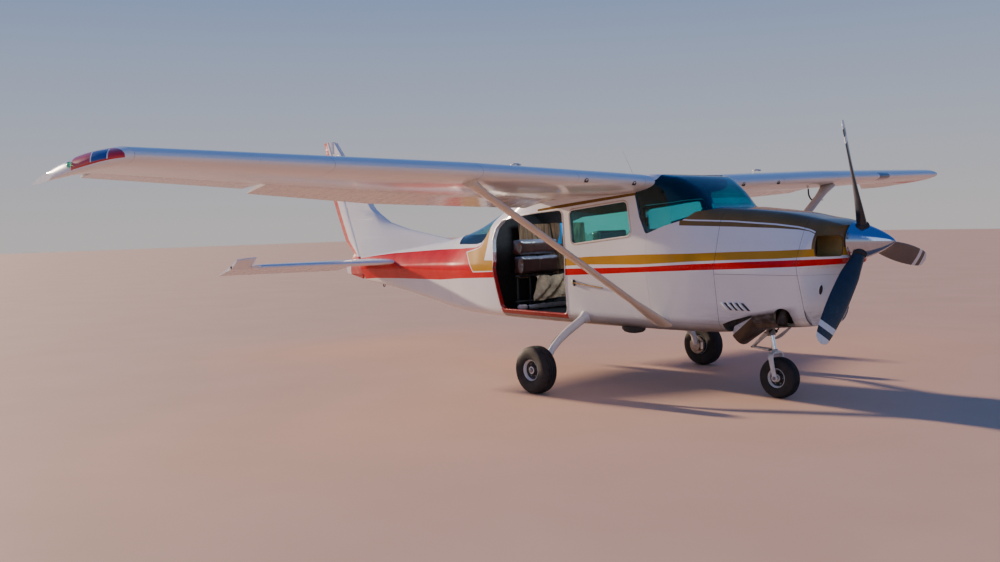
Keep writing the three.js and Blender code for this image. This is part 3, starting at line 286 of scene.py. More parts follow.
def livery_material():
    s = Surface("livery_paint", Specular_IOR_Level=0.16, Coat_Weight=0.08, Coat_Roughness=0.04)
    edge = {word: s.profile(points) for word, points in EDGES.items()}
    fore, aft, upper_cowl = s.x > frame_x(500), s.x < frame_x(-130), s.x > frame_x(2420)
    gold = (s.z < edge["gold_top"]) * (s.z > edge["gold_low"]) * fore
    red = (s.z < edge["red_top"]) * (s.z > edge["red_low"]) * fore
    pin = edge["pinstripe"]
    bronze = any_of((
        (s.z > pin + 0.006) * upper_cowl,
        (s.z > edge["thin_gold_low"]) * (s.z < pin - 0.006) * upper_cowl,
        (s.x > frame_x(3672)) * (s.z > edge["gold_low"])))
    strip = (s.z < edge["strip_top"]) * (s.z > edge["strip_low"])
    strip = strip * (s.x > frame_x(600)) * (s.x < frame_x(2050))
    # Red band of the tail, with a gold field in a white outline behind the cargo opening
    band = (s.z < edge["band_top"]) * (s.z > edge["band_low"]) * aft
    rear_edge = (s.x - frame_x(-765)) * 0.70 + (s.z - frame_z(1300)) * 0.714
    inside = rear_edge.least(s.z - edge["field_low"]).least(edge["field_top"] - s.z) * aft
    pale = ((s.x > frame_x(-328)) * (s.z > frame_z(1214))) * aft
    aft_gold = (inside > 0.011) * pale.inverse()
    aft_white = (inside > 0.0).most(pale)
    sill = (s.x > frame_x(-90)) * (s.x < frame_x(985)) * (s.y < 0.0)
    sill = sill * (s.z < frame_z(702)) * (s.z > frame_z(648))
    flake = s.noise(900, 2, 0.5)
    gold_tone = s.ramp(flake * 0.6 + s.noise(3, 3) * 0.4, (0.40, 0.205, 0.012), (0.58, 0.31, 0.026))
    bronze_tone = s.ramp(s.noise(4, 4) * 0.7 + flake * 0.3, (0.13, 0.085, 0.030), (0.23, 0.15, 0.055))
    red_tone = s.tones(((0.50, 0.003, 0.006), (0.66, 0.007, 0.010)), 5)
    paint = s.tones(WHITE, 1.7)
    for where, tone in ((red.most(sill), red_tone), (bronze, bronze_tone),
                        (band * aft_white.inverse(), red_tone), (gold, gold_tone),
                        (strip, (0.17, 0.095, 0.018)), (aft_gold, gold_tone)):
        paint = s.mix(where, paint, tone)
    seams = any_of([line(s.x, frame_x(place), 0.0022) for place in SKIN_SEAMS])
    seams = seams.most(line(s.z, frame_z(1135), 0.002) * (s.x > frame_x(2800)))
    slant = s.z + s.y * 0.2
    studs = any_of([rivets(slant, 0.038, s.x - frame_x(place)) for place in RIVET_FRAMES]
                   + [rivets(s.x, 0.042, s.z - frame_z(place)) for place in RIVET_LEVELS])
    # Oil streaks low on the cowl, soot beside the exhaust hole, and painted shade that darkens the paint
    # towards the belly
    low = (s.z * -1.0 + 0.86).op("MULTIPLY", 5.0, clamp=True)
    near = ((s.x - 2.35) * 1.2).clamped()
    oil = low * near * ((s.noise(5, 6, 0.7, (0.4, 1.0, 2.4)) - 0.34) * 3.2).clamped()
    beside = ((s.x - frame_x(3255)).abs() * -8.0 + 2.1).clamped()
    below = ((s.z - frame_z(800)) * -26.0 + (s.x - frame_x(3120)) * 5.0 + 0.4).clamped()
    soot = beside * below * (s.y.abs() > mm(150)) * (s.noise(16, 5, 0.7) * 0.7 + 0.6).clamped()
    # Painted shade: the paint darkens to warm brown towards the belly.
    grime_and_shade = ((s.z * -1.0 + frame_z(742)) * 8.5).clamped() * (s.x > frame_x(-100))
    grime_and_shade = (grime_and_shade * (s.noise(4, 5, 0.65, (0.5, 1.0, 1.5)) * 0.5 + 0.70) * 0.88).clamped()
    for where, tone in ((seams * 0.38, (0.16, 0.15, 0.15)), (studs * 0.42, (0.30, 0.29, 0.28)),
                        (oil * 0.75, (0.07, 0.05, 0.036)), (soot * 0.97, (0.022, 0.014, 0.009)),
                        (grime_and_shade, (0.075, 0.052, 0.040))):
        paint = s.mix(where, paint, tone)
    s.bump(seams * -1.0, 0.002)
    s.bump(studs, 0.0012)
    s.bump(s.noise(2.4, 2, 0.5), 0.006, 0.35)
    return s.finished(soil(s, paint, 0.16), s.noise(6, 4) * 0.05 + 0.075 + oil * 0.3)


def simple(name, tones, scale, roughness, grain, stretch=None, **uniform):
    """A procedural finish: two tones in noise, varied roughness and a fine grain."""
    s = Surface(name, **uniform)
    colour = s.ramp(s.noise(scale, 5, 0.6, stretch), *tones, 0.25, 0.75)
    s.bump(s.noise(grain[0], 3, 0.6, stretch), grain[1], 0.5)
    low, high = roughness
    return s.finished(colour, s.noise(scale * 2.3, 4, 0.6, stretch) * (high - low) + low)


WING_SEAMS = (660, 1500, 2540, 3815, 5200)
RIB_PITCH = 0.38
SPARS = ((2.03, 0.0045), (1.72, 0.0055), (1.18, 0.0055))


def wing_material():
    s = Surface("wing_paint", Coat_Weight=0.5, Coat_Roughness=0.08)
    span = s.y.abs()
    panel = any_of([line(span, mm(place), 0.003) for place in WING_SEAMS])
    rib = (((span / RIB_PITCH).op("FRACT") - 0.5) * RIB_PITCH).abs()
    studs = any_of([rivets(s.x, 0.045, rib, 0.0055)]
                   + [rivets(span, 0.045, s.x - place, width) for place, width in SPARS])
    paint = s.mix(panel * 0.6, s.tones(WHITE, 1.4), (0.14, 0.13, 0.12))
    paint = s.mix(studs * 0.35, paint, (0.36, 0.35, 0.33))
    s.bump(panel * -1.0, 0.002)
    s.bump(studs, 0.001)
    s.bump(s.noise(2.0, 2, 0.5), 0.008, 0.35)
    return s.finished(soil(s, paint), s.noise(7, 4) * 0.14 + 0.16)


def beaded_material():
    """White control-surface skin with pressed beads that run fore and aft."""
    s = Surface("beaded_paint", Coat_Weight=0.7, Coat_Roughness=0.08)
    s.bump(s.y.wave(0.115).op("POWER", 6.0), 0.004)
    return s.finished(soil(s, s.tones(WHITE, 1.6), 0.3), s.noise(8, 4) * 0.14 + 0.2)


def glass_material(name, tint, deep):
    s = Surface(name, Transmission_Weight=1.0, IOR=1.35, Specular_IOR_Level=0.6, Coat_Weight=0.3)
    s.bump(s.noise(1.3, 2), 0.01, 0.15)
    return s.finished(s.tones((tint, deep), 3), s.noise(60, 5, 0.7) * 0.04)


def tip_material():
    """Wing tip cap: red with a white rear cone, and a blue lozenge inside a pale pinstripe near the front."""
    s = Surface("wing_tip_paint", Coat_Weight=0.5, Coat_Roughness=0.08)
    up, span = s.facing_up(), s.y.abs()
    red = s.tones(((0.46, 0.004, 0.008), (0.64, 0.010, 0.014)), 6)
    white = s.tones(((0.74, 0.75, 0.78), (0.82, 0.82, 0.82)), 5)
    blue = s.tones(((0.012, 0.030, 0.19), (0.030, 0.060, 0.30)), 12)
    cone = (s.x - frame_x(1436)) - (span - 5.40) * 0.9 < 0.0
    under = ((up < -0.35) * (s.y < 0.0)).most(span < 5.243)
    lozenge = (s.x - frame_x(1722)).abs() / 0.100 + (span - 5.335).abs() / 0.060
    top = cone.inverse() * (up > 0.0)
    paint = s.mix(cone.most(under), red, white)
    paint = s.mix((lozenge < 1.22) * top, paint, white)
    paint = s.mix((lozenge < 1.06) * top, paint, blue)
    s.bump(line(span, 5.2075, 0.003) * -1.0, 0.002)
    return s.finished(soil(s, paint, 0.2), s.noise(9, 4) * 0.12 + 0.16)


# Rudder: height, trailing edge x, half thickness there
RUDDER_LEVELS = [
    (968, -3800, 12), (1045, -3838, 12), (1120, -3790, 6), (1235, -3640, 3), (1337, -3758, 3),
    (1429, -3858, 3), (1801, -4049, 3), (1964, -4124, 3), (2600, -4275, 3), (2785, -4335, 3),
]


def rudder_material():
    """White with a red trailing edge and a red foot."""
    s = Surface("rudder_paint", Coat_Weight=0.7, Coat_Roughness=0.07)
    trail = s.curve(s.z, [(frame_z(z), frame_x(x)) for z, x, _ in RUDDER_LEVELS])
    edge = (s.x < trail + 0.105) * (s.z > frame_z(1235))
    foot = (s.z < frame_z(1205)) * (s.x > frame_x(-3720))
    foot = foot.most((s.z < frame_z(1262)) * (s.x < frame_x(-3560)) * (s.z > frame_z(1150)))
    red = s.tones(((0.50, 0.004, 0.008), (0.66, 0.010, 0.014)), 5)
    s.bump(s.z.wave(0.105).op("POWER", 6.0) * (s.z > frame_z(1300)), 0.0016, 0.6)
    paint = s.mix(edge.most(foot), s.tones(WHITE, 2), red)
    return s.finished(soil(s, paint, 0.3), s.noise(8, 4) * 0.14 + 0.18)


SHAFT_Z = 1400


def blade_material():
    """Dark blade paint with two pale bands at the tip and a worn leading edge."""
    s = Surface("blade_paint", Coat_Weight=0.4, Coat_Roughness=0.12)
    up = s.z - frame_z(SHAFT_Z)
    radius = (s.y * s.y + up * up).op("SQRT")
    pale = (radius > 0.955).most((radius > 0.845) * (radius < 0.897))
    dark = s.tones(((0.010, 0.013, 0.020), (0.022, 0.026, 0.038)), 12, 5)
    worn = ((s.noise(60, 4, 0.7) - 0.56) * 8).clamped() * (radius - 0.35).op("MULTIPLY", 1.1, clamp=True)
    paint = s.mix(worn * 0.45, s.mix(pale, dark, (0.72, 0.72, 0.71)), (0.20, 0.20, 0.20))
    s.bump(s.noise(300, 3), 0.0003)
    return s.finished(paint, s.noise(25, 4) * 0.22 + 0.25)


def tyre_material():
    s = Surface("tyre_rubber")
    dust = ((s.noise(9, 6, 0.7) - 0.42) * 2.6).clamped()
    rubber = s.tones(((0.006, 0.006, 0.008), (0.014, 0.014, 0.016)), 50)
    s.bump(s.noise(260, 4, 0.7), 0.0012)
    return s.finished(s.mix(dust * 0.20, rubber, (0.13, 0.11, 0.09)), s.noise(14, 4) * 0.25 + 0.6)


def wheel_material(name, wheel):
    """Worn enamel: a pale ring at the rim, a near-black web and a pale hub."""
    s = Surface(name, Coat_Weight=0.3, Coat_Roughness=0.15)
    across, up = s.x - frame_x(wheel["x"]), s.z - frame_z(wheel["z"])
    radius = (across * across + up * up).op("SQRT")
    pale = s.tones(((0.52, 0.53, 0.55), (0.74, 0.74, 0.75)), 24)
    dark = s.tones(((0.012, 0.012, 0.013), (0.055, 0.050, 0.046)), 30, 5)
    web = (radius < mm(wheel["rim"] - 13)) * (radius > mm(34))
    s.bump(s.noise(200, 3), 0.0003)
    return s.finished(s.mix(web, pale, dark), s.noise(28, 4) * 0.25 + 0.3)


def jamb_material():
    """Door frame: dark red low, pale above, with scuffs."""
    s = Surface("door_jamb_paint", Coat_Weight=0.4, Coat_Roughness=0.15)
    pale = s.tones(((0.42, 0.42, 0.44), (0.66, 0.65, 0.64)), 8, 5)
    red = s.tones(((0.26, 0.006, 0.010), (0.50, 0.014, 0.018)), 7, 5)
    low = (s.z < frame_z(1302)) * (s.x < frame_x(900))
    low = low.most((s.z < frame_z(712)) * (s.x < frame_x(1000)))
    scuff = ((s.noise(34, 5, 0.75) - 0.58) * 7).clamped() * (s.z < frame_z(760))
    s.bump(s.noise(120, 4), 0.0006)
    paint = s.mix(scuff * 0.7, s.mix(low, pale, red), (0.62, 0.60, 0.58))
    return s.finished(paint, s.noise(16, 4) * 0.3 + 0.22)


def leather_material(name, tones):
    """Creased hide, with a painted sky reflection: pale blue colour where it faces up."""
    s = Surface(name, Coat_Weight=1.0, Coat_Roughness=0.10, Coat_IOR=1.7)
    grain = s.cells(420)
    base = s.ramp(s.noise(9, 5, 0.65) * 0.8 + grain * 0.25, *tones, 0.28, 0.75)
    # Painted sky reflection: the colour turns pale blue on faces that point up.
    painted_sky_sheen = (s.facing_up() * 1.35 - 0.12).clamped() * 0.8 * (s.noise(7, 4) * 0.6 + 0.5)
    s.bump(grain, 0.0005, 0.5)
    s.bump(s.noise(16, 4, 0.6), 0.004, 0.5)
    return s.finished(s.mix(painted_sky_sheen, base, (0.30, 0.33, 0.43)), s.noise(22, 4) * 0.18 + 0.24)


HEM_BLUE = (0.01, 0.36, 0.80)


def cloth_material(name, tones, weave=700.0, fold_shade_stretch=(1.0, 1.0, 1.0), hem=None):
    """Woven cloth, with a blue band that leans across it where a hem's x is given; where a stretch is given,
    the noise runs in streaks that paint the light and shade of folds.
    """
    s = Surface(name, Sheen_Weight=0.3, Sheen_Roughness=0.5)
    threads = ((s.y * weave * 2.0).op("SINE") * (s.z * weave * 2.0).op("SINE")) * 0.5 + 0.5
    # A stretched noise paints light and shade of folds as streaks.
    base = s.ramp(s.noise(7, 5, 0.65, fold_shade_stretch) * 0.85 + threads * 0.15, *tones)
    if hem is not None:
        band = (s.x - (s.z - frame_z(1407)) * 0.36 - frame_x(hem)).abs() < 0.027
        base = s.mix(band * (s.z > frame_z(1365)), base, HEM_BLUE)
    s.bump(threads, 0.0006, 0.6)
    s.bump(s.noise(30, 4, 0.6), 0.003, 0.5)
    return s.finished(base, s.noise(40, 3) * 0.15 + 0.8)


def spinner_material():
    s = Surface("polished_spinner", Metallic=1.0, Specular_IOR_Level=0.5)
    rings = s.noise(2.0, 6, 0.7, (160.0, 4.0, 4.0))
    s.bump(rings, 0.0003, 0.3)
    colour = s.ramp(rings, (0.40, 0.46, 0.58), (0.54, 0.60, 0.70))
    return s.finished(colour, rings * 0.07 + s.noise(40, 5, 0.7) * 0.05 + 0.03)


def tail_material():
    s = Surface("tail_paint", Coat_Weight=0.8, Coat_Roughness=0.06)
    studs = any_of([rivets(s.x, 0.042, s.z - frame_z(place), 0.005)
                    for place in (1460, 1700, 1985, 2300, 2590)]
                   + [rivets(s.x, 0.042, s.y.abs() - place, 0.005) for place in (0.42, 0.86, 1.30, 1.68)])
    seam = line(s.z, frame_z(2612), 0.003)
    # The faint blue in this white is painted sky light.
    white = s.tones(((0.73, 0.75, 0.79), (0.80, 0.81, 0.83)), 1.6)
    paint = s.mix(seam * 0.5, s.mix(studs * 0.3, white, (0.36, 0.35, 0.33)), (0.15, 0.14, 0.13))
    s.bump(studs, 0.001)
    s.bump(s.noise(2.2, 2), 0.006, 0.35)
    return s.finished(soil(s, paint, 0.22), s.noise(7, 4) * 0.14 + 0.16)


# Plain finishes: name, two tones, size of their noise, range of roughness, size and height of the grain
FINISHES = {
    "lining": ("cabin_lining", ((0.055, 0.05, 0.045), (0.10, 0.09, 0.08)), 9, (0.7, 0.9), (140, 0.0006)),
    "primer": ("inner_primer", ((0.10, 0.11, 0.09), (0.16, 0.17, 0.14)), 8, (0.6, 0.8), (90, 0.0004)),
    "white": ("white_enamel", ((0.70, 0.70, 0.69), (0.82, 0.815, 0.80)), 9, (0.2, 0.42), (260, 0.0002)),
    "alloy": ("cast_alloy", ((0.42, 0.42, 0.42), (0.66, 0.66, 0.65)), 30, (0.25, 0.5), (300, 0.0003)),
    "steel": ("dark_steel", ((0.16, 0.16, 0.165), (0.34, 0.34, 0.345)), 22, (0.35, 0.6), (180, 0.0004)),
    "chrome": ("chrome_rod", ((0.78, 0.80, 0.83), (0.92, 0.93, 0.95)), 14, (0.03, 0.10), (500, 0.00005)),
    "black": ("black_plastic", ((0.012, 0.012, 0.013), (0.035, 0.034, 0.034)), 30, (0.5, 0.75),
              (600, 0.0003)),
    "exhaust": ("burnt_exhaust", ((0.045, 0.03, 0.022), (0.17, 0.12, 0.09)), 18, (0.5, 0.8), (120, 0.0006)),
    "iron": ("engine_iron", ((0.05, 0.05, 0.055), (0.13, 0.13, 0.135)), 20, (0.45, 0.7), (90, 0.001)),
    "seal": ("rubber_seal", ((0.012, 0.012, 0.012), (0.035, 0.034, 0.033)), 40, (0.6, 0.85), (400, 0.0004)),
    "strut": ("strut_enamel", ((0.50, 0.44, 0.36), (0.62, 0.55, 0.46)), 5, (0.16, 0.34), (220, 0.0002)),
    "brake": ("brake_disc", ((0.20, 0.17, 0.15), (0.42, 0.38, 0.35)), 26, (0.3, 0.55), (300, 0.0003)),
    "fork": ("fork_enamel", ((0.52, 0.53, 0.55), (0.76, 0.76, 0.76)), 16, (0.25, 0.45), (200, 0.0003)),
    "carpet": ("floor_carpet", ((0.018, 0.017, 0.016), (0.045, 0.042, 0.04)), 60, (0.85, 0.98),
               (900, 0.0015)),
    "bar": ("pale_rail", ((0.44, 0.40, 0.43), (0.66, 0.61, 0.64)), 24, (0.4, 0.6), (180, 0.0005)),
    "bulb": ("pink_cover", ((0.52, 0.38, 0.38), (0.72, 0.56, 0.55)), 22, (0.45, 0.65), (160, 0.0006)),
    "bronze": ("duct_bronze", ((0.10, 0.060, 0.022), (0.20, 0.12, 0.045)), 16, (0.3, 0.5), (220, 0.0003)),
    "oily": ("oily_plate", ((0.014, 0.010, 0.007), (0.060, 0.042, 0.028)), 14, (0.25, 0.5), (120, 0.0006)),
    "worn_grey": ("worn_grey_plate", ((0.30, 0.29, 0.28), (0.56, 0.55, 0.54)), 16, (0.35, 0.55),
                  (160, 0.0005)),
    "duct": ("duct_bronze", ((0.20, 0.14, 0.05), (0.33, 0.235, 0.09)), 8, (0.25, 0.45), (200, 0.0003)),
    "lamp_glass": ("dark_lens", ((0.008, 0.030, 0.085), (0.022, 0.070, 0.16)), 12, (0.05, 0.12),
                   (90, 0.0002)),
    "dial": ("dial_face", ((0.006, 0.006, 0.007), (0.016, 0.016, 0.017)), 60, (0.25, 0.4), (300, 0.0002)),
    "brass": ("worn_brass", ((0.38, 0.26, 0.12), (0.62, 0.46, 0.24)), 30, (0.25, 0.5), (260, 0.0003)),
}
SHADER_VALUES = {
    "white": {"Coat_Weight": 0.5},
    "alloy": {"Metallic": 1.0},
    "steel": {"Metallic": 1.0},
    "chrome": {"Metallic": 1.0},
    "exhaust": {"Metallic": 0.8},
    "iron": {"Metallic": 0.7},
    "strut": {"Coat_Weight": 0.7, "Coat_Roughness": 0.07},
    "brake": {"Metallic": 1.0},
    "fork": {"Metallic": 0.2},
    "bronze": {"Coat_Weight": 0.3},
    "oily": {"Coat_Weight": 0.3, "stretch": (1, 2, 1)},
    "lamp_glass": {"Coat_Weight": 1.0},
    "dial": {"Coat_Weight": 1.0},
    "brass": {"Metallic": 0.9},
}
# The curtain's noise is stretched into upright streaks: painted light and shade of its folds.
CURTAIN_CLOTH = ((0.014, 0.009, 0.006), (0.42, 0.235, 0.11)), 500.0, (2.0, 5.0, 0.5)
HEM_X = -39.0

M = {word: simple(*values, **SHADER_VALUES.get(word, {})) for word, values in FINISHES.items()}
M["livery"] = livery_material()
M["wing"] = wing_material()
M["beaded"] = beaded_material()
M["tip"] = tip_material()
M["rudder"] = rudder_material()
M["tail"] = tail_material()
M["blade"] = blade_material()
M["tyre"] = tyre_material()
M["jamb"] = jamb_material()
M["spinner"] = spinner_material()
M["leather"] = leather_material("dark_leather", ((0.030, 0.013, 0.012), (0.085, 0.034, 0.028)))
M["trim_leather"] = leather_material("front_seat_leather", ((0.030, 0.026, 0.024), (0.075, 0.065, 0.058)))
M["cloth"] = cloth_material("khaki_cloth", ((0.17, 0.11, 0.060), (0.68, 0.48, 0.29)))
M["curtain"] = cloth_material("curtain_cloth", *CURTAIN_CLOTH)
M["hemmed"] = cloth_material("hemmed_cloth", *CURTAIN_CLOTH, HEM_X)
M["glass"] = glass_material("tinted_acrylic", (0.025, 0.44, 0.52), (0.05, 0.52, 0.58))
M["clear"] = glass_material("pale_acrylic", (0.50, 0.86, 0.84), (0.58, 0.90, 0.88))
M["side_glass"] = glass_material("side_acrylic", (0.12, 0.74, 0.66), (0.16, 0.78, 0.70))
M["green_lens"] = glass_material("green_lamp", (0.10, 0.55, 0.30), (0.16, 0.70, 0.40))
M["red_lens"] = glass_material("red_lamp", (0.65, 0.05, 0.04), (0.80, 0.08, 0.06))

CARRIED_OVER = {"cabin_floor": "carpet", "firewall": "steel", "instrument_panel": "black",
                "engine_block": "iron"}
for node, finish in CARRIED_OVER.items():
    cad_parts[node].data.materials.clear()
    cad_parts[node].data.materials.append(M[finish])

# Mesh tools


def make_object(name, data, *materials):
    obj = bpy.data.objects.new(name, data)
    bpy.context.scene.collection.objects.link(obj)
    for material in materials:
        data.materials.append(material)
    return obj


def shade(obj, angle):
    """Smooth, with a crease wherever faces meet at more than an angle."""
    obj.data.shade_smooth()
    obj.data.set_sharp_from_angle(angle=math.radians(angle))
    return obj


def mesh_object(name, points, faces, *materials, angle=None):
    """A mesh of points in metres, with doubled points welded and all faces turned outwards."""
    data = bpy.data.meshes.new(name)
    data.from_pydata(np.asarray(points, float).tolist(), [], faces)
    work = bmesh.new()
    work.from_mesh(data)
    bmesh.ops.remove_doubles(work, verts=work.verts, dist=1e-6)
    bmesh.ops.recalc_face_normals(work, faces=work.faces)
    work.to_mesh(data)
    work.free()
    obj = make_object(name, data, *materials)
    return shade(obj, angle) if angle else obj


def loft(name, rings, *materials, angle=None, caps=True):
    """A skin over rings of points, each ring with as many as the others."""
    count = len(rings[0])
    last = (len(rings) - 1) * count
    faces = []
    for k in range(0, last, count):
        for i in range(count):
            j = (i + 1) % count
            faces.append((k + i, k + j, k + count + j, k + count + i))
    if caps:
        faces += [tuple(range(count)), tuple(range(last, last + count))]
    return mesh_object(name, metres(np.concatenate(rings)), faces, *materials, angle=angle)


def prism(name, outline, y0, y1, *materials):
    """A side-view outline of x, z points stretched across the width."""
    return loft(name, [[(x, y, z) for x, z in outline] for y in (y0, y1)], *materials)


def plan_prism(name, outline, z0, z1, *materials):
    return loft(name, [[(x, y, z) for x, y in outline] for z in (z0, z1)], *materials)


def front_prism(name, outline, x0, x1, *materials):
    return loft(name, [[(x, y, z) for y, z in outline] for x in (x0, x1)], *materials)


def block(low, high, material):
    (x0, y0, z0), (x1, y1, z1) = low, high
    return plan_prism("block", [(x0, y0), (x1, y0), (x1, y1), (x0, y1)], z0, z1, material)


def bake(obj):
    """Applies an object's modifiers to its mesh."""
    graph = bpy.context.evaluated_depsgraph_get()
    graph.update()
    made = bpy.data.meshes.new_from_object(obj.evaluated_get(graph), depsgraph=graph)
    obj.modifiers.clear()
    old = obj.data
    obj.data = made
    bpy.data.meshes.remove(old)
    made.name = obj.name
    return obj


def boolean(obj, other, operation, keep):
    modifier = obj.modifiers.new("cut", "BOOLEAN")
    modifier.operation = operation
    modifier.solver = "MANIFOLD"
    modifier.object = other
    modifier.material_mode = "TRANSFER"
    bake(obj)
    if not keep:
        bpy.data.objects.remove(other)
    return obj


def cut(obj, other, keep=False):
    return boolean(obj, other, "DIFFERENCE", keep)


def common(obj, other, keep=False):
    return boolean(obj, other, "INTERSECT", keep)


def copy_of(obj, name):
    twin = obj.copy()
    twin.data = obj.data.copy()
    twin.name = name
    bpy.context.scene.collection.objects.link(twin)
    return twin


def join(name, parts):
    """One object of several, which keep their materials."""
    data = bpy.data.meshes.new(name)
    work = bmesh.new()
    materials = []
    for part in parts:
        first = len(work.faces)
        work.from_mesh(part.data)
        work.faces.ensure_lookup_table()
        slots = []
        for material in part.data.materials:
            if material not in materials:
                materials.append(material)
            slots.append(materials.index(material))
        for face in work.faces[first:]:
            face.material_index = slots[face.material_index]
    work.to_mesh(data)
    work.free()
    for part in parts:
        bpy.data.objects.remove(part)
    return make_object(name, data, *materials)


def dress(obj, node=None, body="airframe"):
    """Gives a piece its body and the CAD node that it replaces."""
    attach(obj, body)
    if node:
        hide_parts(node)
    return obj


def group(name, parts, angle, node=None, body="airframe"):
    return dress(shade(join(name, parts), angle), node, body)


def turns(count):
    return 2 * np.pi * np.arange(count) / count


def tube(name, points, radius, material, sides=12, ends=True):
    """A round tube along points; radius is one number or one for each point."""
    points = [Vector(p) for p in points]
    radii = [radius] * len(points) if isinstance(radius, (int, float)) else radius
    rings = []
    normal = None
    for i, point in enumerate(points):
        way = (points[min(i + 1, len(points) - 1)] - points[max(i - 1, 0)]).normalized()
        normal = normal or way.orthogonal()
        normal = (normal - way * normal.dot(way)).normalized()
        other = way.cross(normal)
        rings.append([point + (normal * math.cos(a) + other * math.sin(a)) * radii[i] for a in turns(sides)])
    return loft(name, rings, material, angle=40, caps=ends)


def smooth_path(points, steps=8):
    """Points on a smooth curve through the given ones."""
    points = [Vector(p) for p in points]
    out = []
    for i in range(len(points) - 1):
        a, b, c, d = (points[min(max(k, 0), len(points) - 1)] for k in range(i - 1, i + 3))
        for k in range(steps):
            t = k / steps
            bend = (2 * a - 5 * b + 4 * c - d) * t ** 2 + (3 * b - a - 3 * c + d) * t ** 3
            out.append(0.5 * (2 * b + (c - a) * t + bend))
    return out + [points[-1]]


def turned(name, profile, centre, axis, material, sides=64, angle=35):
    """A profile of distance, radius points turned about an axis through a point."""
    axis = Vector(axis).normalized()
    u = axis.orthogonal().normalized()
    v = axis.cross(u)
    points = [Vector(centre) + axis * d + (u * math.cos(a) + v * math.sin(a)) * r
              for a in turns(sides) for d, r in profile]
    count = len(profile)
    faces = []
    for k in range(sides):
        here, there = k * count, (k + 1) % sides * count
        faces += [(here + i, here + i + 1, there + i + 1, there + i) for i in range(count - 1)]
    return mesh_object(name, metres(points), faces, material, angle=angle)


def bevel(obj, width):
    modifier = obj.modifiers.new("edge", "BEVEL")
    modifier.width = mm(width)
    modifier.segments = 2
    modifier.limit_method = "ANGLE"
    modifier.angle_limit = math.radians(35)
    return shade(bake(obj), 40)


def rounded(corners, steps=6):
    """Rounds each corner u, v, radius of a polygon."""
    out = []
    for i, (u, v, radius) in enumerate(corners):
        here = Vector((u, v))
        before = Vector(corners[i - 1][:2]) - here
        after = Vector(corners[(i + 1) % len(corners)][:2]) - here
        cosine = max(-1.0, min(1.0, before.dot(after) / (before.length * after.length)))
        half = math.acos(cosine) / 2
        reach = min(radius / math.tan(half), before.length * 0.49, after.length * 0.49)
        p = here + before.normalized() * reach
        q = here + after.normalized() * reach
        r = reach * math.tan(half)
        centre = here + (before.normalized() + after.normalized()).normalized() * (r / math.sin(half))
        start = math.atan2(p.y - centre.y, p.x - centre.x)
        sweep = math.atan2(q.y - centre.y, q.x - centre.x) - start
        if sweep > math.pi:
            sweep -= 2 * math.pi
        if sweep < -math.pi:
            sweep += 2 * math.pi
        for k in range(steps + 1):
            a = start + sweep * k / steps
            out.append((centre.x + r * math.cos(a), centre.y + r * math.sin(a)))
    return out


def rounded_box(u, v, radius, steps):
    return rounded([(-u, -v, radius), (u, -v, radius), (u, v, radius), (-u, v, radius)], steps)


def grown(outline, distance):
    """An outline moved outwards."""
    area = sum(a[0] * b[1] - b[0] * a[1] for a, b in zip(outline, outline[1:] + outline[:1]))
    way = 1 if area > 0 else -1
    out = []
    for i, here in enumerate(outline):
        before, after = outline[i - 1], outline[(i + 1) % len(outline)]
        n1 = Vector((here[1] - before[1], before[0] - here[0])).normalized()
        n2 = Vector((after[1] - here[1], here[0] - after[0])).normalized()
        mean = (n1 + n2).normalized()
        scale = way * distance / max(0.3, mean.dot(n1))
        out.append((here[0] + mean.x * scale, here[1] + mean.y * scale))
    return out


def eased(xs, ys, at_xs):
    """A smooth curve through points that never overshoots them."""
    xs, ys = np.asarray(xs, float), np.asarray(ys, float)
    steps = np.diff(xs)
    slopes = np.diff(ys) / steps
    tangents = np.zeros(len(xs))
    tangents[0], tangents[-1] = slopes[0], slopes[-1]
    for i in range(1, len(xs) - 1):
        a, b = slopes[i - 1], slopes[i]
        if a * b > 0:
            w1, w2 = 2 * steps[i] + steps[i - 1], steps[i] + 2 * steps[i - 1]
            tangents[i] = (w1 + w2) / (w1 / a + w2 / b)
    i = np.clip(np.searchsorted(xs, at_xs) - 1, 0, len(xs) - 2)
    t = (at_xs - xs[i]) / steps[i]
    return ((1 + 2 * t) * (1 - t) ** 2 * ys[i] + t * (1 - t) ** 2 * steps[i] * tangents[i]
            + t * t * (3 - 2 * t) * ys[i + 1] + t * t * (t - 1) * steps[i] * tangents[i + 1])


def eased_row(table, place):
    """The columns of a table at a place of its first one, on smooth curves."""
    return [float(eased(table[:, 0], column, np.array([place]))[0]) for column in table.T[1:]]


def straight_row(table, place):
    return [float(np.interp(place, table[:, 0], column)) for column in table.T[1:]]


# Fuselage skins

